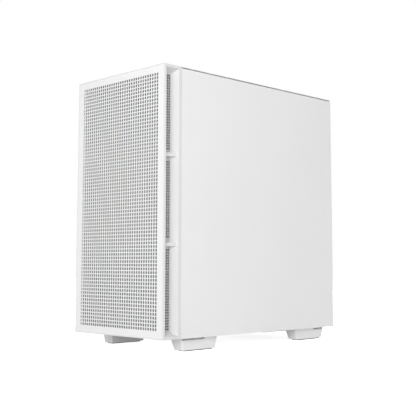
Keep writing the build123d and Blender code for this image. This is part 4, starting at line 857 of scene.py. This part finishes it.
def rear_port_tongues():
    """Contact tongues inside the rear ports, and coloured rings round the sound jacks."""
    tongues = bmesh.new()
    contacts = bmesh.new()
    blocks = sorted(solids_of("rear_ports"), key=lambda b: -b[1].z)
    tongue_back, tongue_front = REAR_TONGUE_SPAN
    contact_back, contact_front = REAR_CONTACT_SPAN
    for low, high in blocks[:-1]:
        mid_z = (low.z + high.z) / 2
        half_z = (high.z - low.z) / 2 - REAR_TONGUE_SIDE
        rows = 2 if high.x - low.x > REAR_STACK_H else 1
        for k in range(rows):
            x = low.x + (high.x - low.x) * (k + 0.5) / rows
            start = (x - REAR_TONGUE_T / 2, high.y - tongue_back, mid_z - half_z)
            stop = (x + REAR_TONGUE_T / 2, high.y - tongue_front, mid_z + half_z)
            edged_box(tongues, start, stop, REAR_TONGUE_EDGE)
            face = x - REAR_TONGUE_T / 2
            for p in range(CONTACTS):
                z = mid_z + (p - (CONTACTS - 1) / 2) * 2 * half_z / CONTACT_SPREAD
                start = (face - REAR_CONTACT_PROUD, high.y - contact_back, z - REAR_CONTACT_W / 2)
                stop = (face + REAR_CONTACT_SUNK, high.y - contact_front, z + REAR_CONTACT_W / 2)
                edged_box(contacts, start, stop, CONTACT_EDGE)
    low, high = blocks[-1]
    for k, colour in enumerate(JACK_COLOURS):
        bm = bmesh.new()
        x = (low.x + high.x) / 2 + (k - 1) * JACK_PITCH
        seat = (x, high.y - JACK_SINK, (low.z + high.z) / 2)
        turned(bm, seat, (0, 1, 0), JACK_OUTLINE, JACK_SIDES, closed=True)
        add_pieces("chassis", (f"sound_jack_ring_{k + 1}", bm, "black_plastic", colour))
    add_pieces(
        "chassis",
        ("rear_port_tongues", tongues, "black_plastic", TONGUE_BLUE),
        ("rear_port_contacts", contacts, "brass", CONTACT_GOLD),
    )


def roof_port_details():
    """Tongues and contacts of the roof sockets, and the light ring round the power button."""
    tongues = bmesh.new()
    contacts = bmesh.new()
    wide, thick, tall = ROOF_TONGUE
    contact_w, contact_t, contact_l = ROOF_CONTACT
    for low, high in solids_of("io_ports"):
        if high.x - low.x < ROOF_SOCKET_MIN_L:
            continue
        mid_x = (low.x + high.x) / 2
        top = high.z - ROOF_TONGUE_DOWN
        y1 = high.y - ROOF_TONGUE_BACK
        y0 = y1 - thick
        start = (mid_x - wide / 2, y0, top - tall)
        edged_box(tongues, start, (mid_x + wide / 2, y1, top), ROOF_TONGUE_EDGE)
        for p in range(CONTACTS):
            x = mid_x + (p - (CONTACTS - 1) / 2) * ROOF_CONTACT_PITCH
            top = high.z - ROOF_CONTACT_DOWN
            y = y0 + ROOF_CONTACT_SINK
            start = (x - contact_w / 2, y - contact_t, top - contact_l)
            edged_box(contacts, start, (x + contact_w / 2, y, top), CONTACT_EDGE)
    low, high = in_mm("power_button")
    ring = bmesh.new()
    radius = (high.x - low.x) / 2
    outline = [(radius + out, up) for out, up in LIGHT_RING]
    seat = ((low.x + high.x) / 2, (low.y + high.y) / 2, in_mm("io_insert")[1].z)
    turned(ring, seat, (0, 0, 1), outline, LIGHT_RING_SIDES, closed=True)
    add_pieces(
        "chassis",
        ("roof_socket_tongues", tongues, "black_plastic", TONGUE_BLUE),
        ("roof_socket_contacts", contacts, "brass", CONTACT_GOLD),
        ("power_light_ring", ring, "white_plastic", LIGHT_GUIDE),
    )


rear_port_tongues()
roof_port_details()


# Fans


def hub_caps():
    """Turned caps with a fine groove on the fans' hubs."""
    for body in (*UPRIGHT_ROTORS, FLAT_ROTOR):
        low, high = in_mm(body)
        middle = (low + high) / 2
        flat = body == FLAT_ROTOR
        way = (0, 0, -1) if flat else (0, -1, 0)
        base = (middle.x, middle.y, low.z) if flat else (middle.x, low.y, middle.z)
        bm = bmesh.new()
        turned(bm, base, way, CAP_OUTLINE, CAP_SIDES)
        add_pieces(body, (body.replace("rotor", "cap"), bm, "fan_plastic", MATERIALS["fan_plastic"]))


hub_caps()


# Studio


def lit_white(name, albedo, glow):
    """Pale floor that looks white to the camera and keeps a soft shadow."""
    material = bpy.data.materials.new(name)
    material.use_nodes = True
    tree = material.node_tree
    shader = tree.nodes["Principled BSDF"]
    shader.inputs["Roughness"].default_value = FLOOR_ROUGH
    shader.inputs["Specular IOR Level"].default_value = 0.0
    shader.inputs["Base Color"].default_value = (albedo, albedo, albedo, 1.0)
    emission = tree.nodes.new("ShaderNodeEmission")
    tree.links.new(spread(tree, seen_directly(tree), 0.0, glow), emission.inputs["Strength"])
    both = tree.nodes.new("ShaderNodeAddShader")
    tree.links.new(shader.outputs[0], both.inputs[0])
    tree.links.new(emission.outputs[0], both.inputs[1])
    tree.links.new(both.outputs[0], tree.nodes["Material Output"].inputs["Surface"])
    return material


def seen_directly(tree):
    """1 for rays from the camera and for mirrored and refracted rays, 0 for light that falls on things."""
    path = tree.nodes.new("ShaderNodeLightPath")
    first = tree.nodes.new("ShaderNodeMath")
    first.operation = "MAXIMUM"
    tree.links.new(path.outputs["Is Camera Ray"], first.inputs[0])
    tree.links.new(path.outputs["Is Glossy Ray"], first.inputs[1])
    second = tree.nodes.new("ShaderNodeMath")
    second.operation = "MAXIMUM"
    tree.links.new(first.outputs["Value"], second.inputs[0])
    tree.links.new(path.outputs["Is Transmission Ray"], second.inputs[1])
    return second.outputs["Value"]


def studio_floor(reach):
    """Wide floor under the tower."""
    bm = bmesh.new()
    bmesh.ops.create_grid(bm, x_segments=FLOOR_CELLS, y_segments=FLOOR_CELLS, size=reach)
    mesh = bpy.data.meshes.new("studio_floor")
    bm.to_mesh(mesh)
    bm.free()
    mesh.materials.append(lit_white("floor_white", FLOOR_ALBEDO, FLOOR_GLOW))
    floor = bpy.data.objects.new("studio_floor", mesh)
    bpy.context.scene.collection.objects.link(floor)


def studio_world(level):
    """Even light from all round; the background itself is white."""
    world = bpy.data.worlds.new("studio")
    world.use_nodes = True
    bpy.context.scene.world = world
    tree = world.node_tree
    light = tree.nodes["Background"]
    light.inputs["Strength"].default_value = level
    light.inputs["Color"].default_value = (1.0, 1.0, 1.0, 1.0)
    white = tree.nodes.new("ShaderNodeBackground")
    white.inputs["Color"].default_value = (1.0, 1.0, 1.0, 1.0)
    mix = tree.nodes.new("ShaderNodeMixShader")
    tree.links.new(seen_directly(tree), mix.inputs["Fac"])
    tree.links.new(light.outputs[0], mix.inputs[1])
    tree.links.new(white.outputs[0], mix.inputs[2])
    tree.links.new(mix.outputs[0], tree.nodes["World Output"].inputs["Surface"])


def soft_lamp(name, place, target, size, power):
    """A square studio lamp that faces a point."""
    data = bpy.data.lights.new(name, "AREA")
    data.size = size
    data.energy = power
    lamp = bpy.data.objects.new(name, data)
    lamp.location = place
    lamp.rotation_euler = (Vector(target) - Vector(place)).to_track_quat("-Z", "Y").to_euler()
    bpy.context.scene.collection.objects.link(lamp)


def photo_camera():
    """Camera where the photograph was taken from."""
    yaw, pitch, roll = (math.radians(a) for a in (CAMERA_YAW, CAMERA_PITCH, CAMERA_ROLL))
    forward = Vector((-math.sin(yaw) * math.cos(pitch), math.cos(yaw) * math.cos(pitch), math.sin(pitch)))
    flat_right = Vector((math.cos(yaw), math.sin(yaw), 0))
    flat_up = flat_right.cross(forward)
    right = math.cos(roll) * flat_right + math.sin(roll) * flat_up
    up = math.cos(roll) * flat_up - math.sin(roll) * flat_right
    data = bpy.data.cameras.new("photo_camera")
    data.sensor_width = SENSOR
    data.lens = FOCAL_PIXELS / PICTURE_PIXELS * SENSOR
    data.shift_y = AXIS_PIXELS / PICTURE_PIXELS
    camera = bpy.data.objects.new("photo_camera", data)
    turn = Matrix((right, up, -forward)).transposed().to_4x4()
    low, high = in_mm("front_bezel")
    at = Vector(((low.x + high.x) / 2, low.y, low.z)) + Vector(CAMERA_OFF)
    camera.matrix_world = Matrix.Translation(at * MM) @ turn
    bpy.context.scene.collection.objects.link(camera)
    bpy.context.scene.camera = camera


bpy.context.scene.view_settings.view_transform = "Standard"
studio_floor(FLOOR_REACH)
studio_world(WORLD_LEVEL)
for name, place, size, power in LAMPS:
    soft_lamp(name, place, LAMP_TARGET, size, power)
photo_camera()
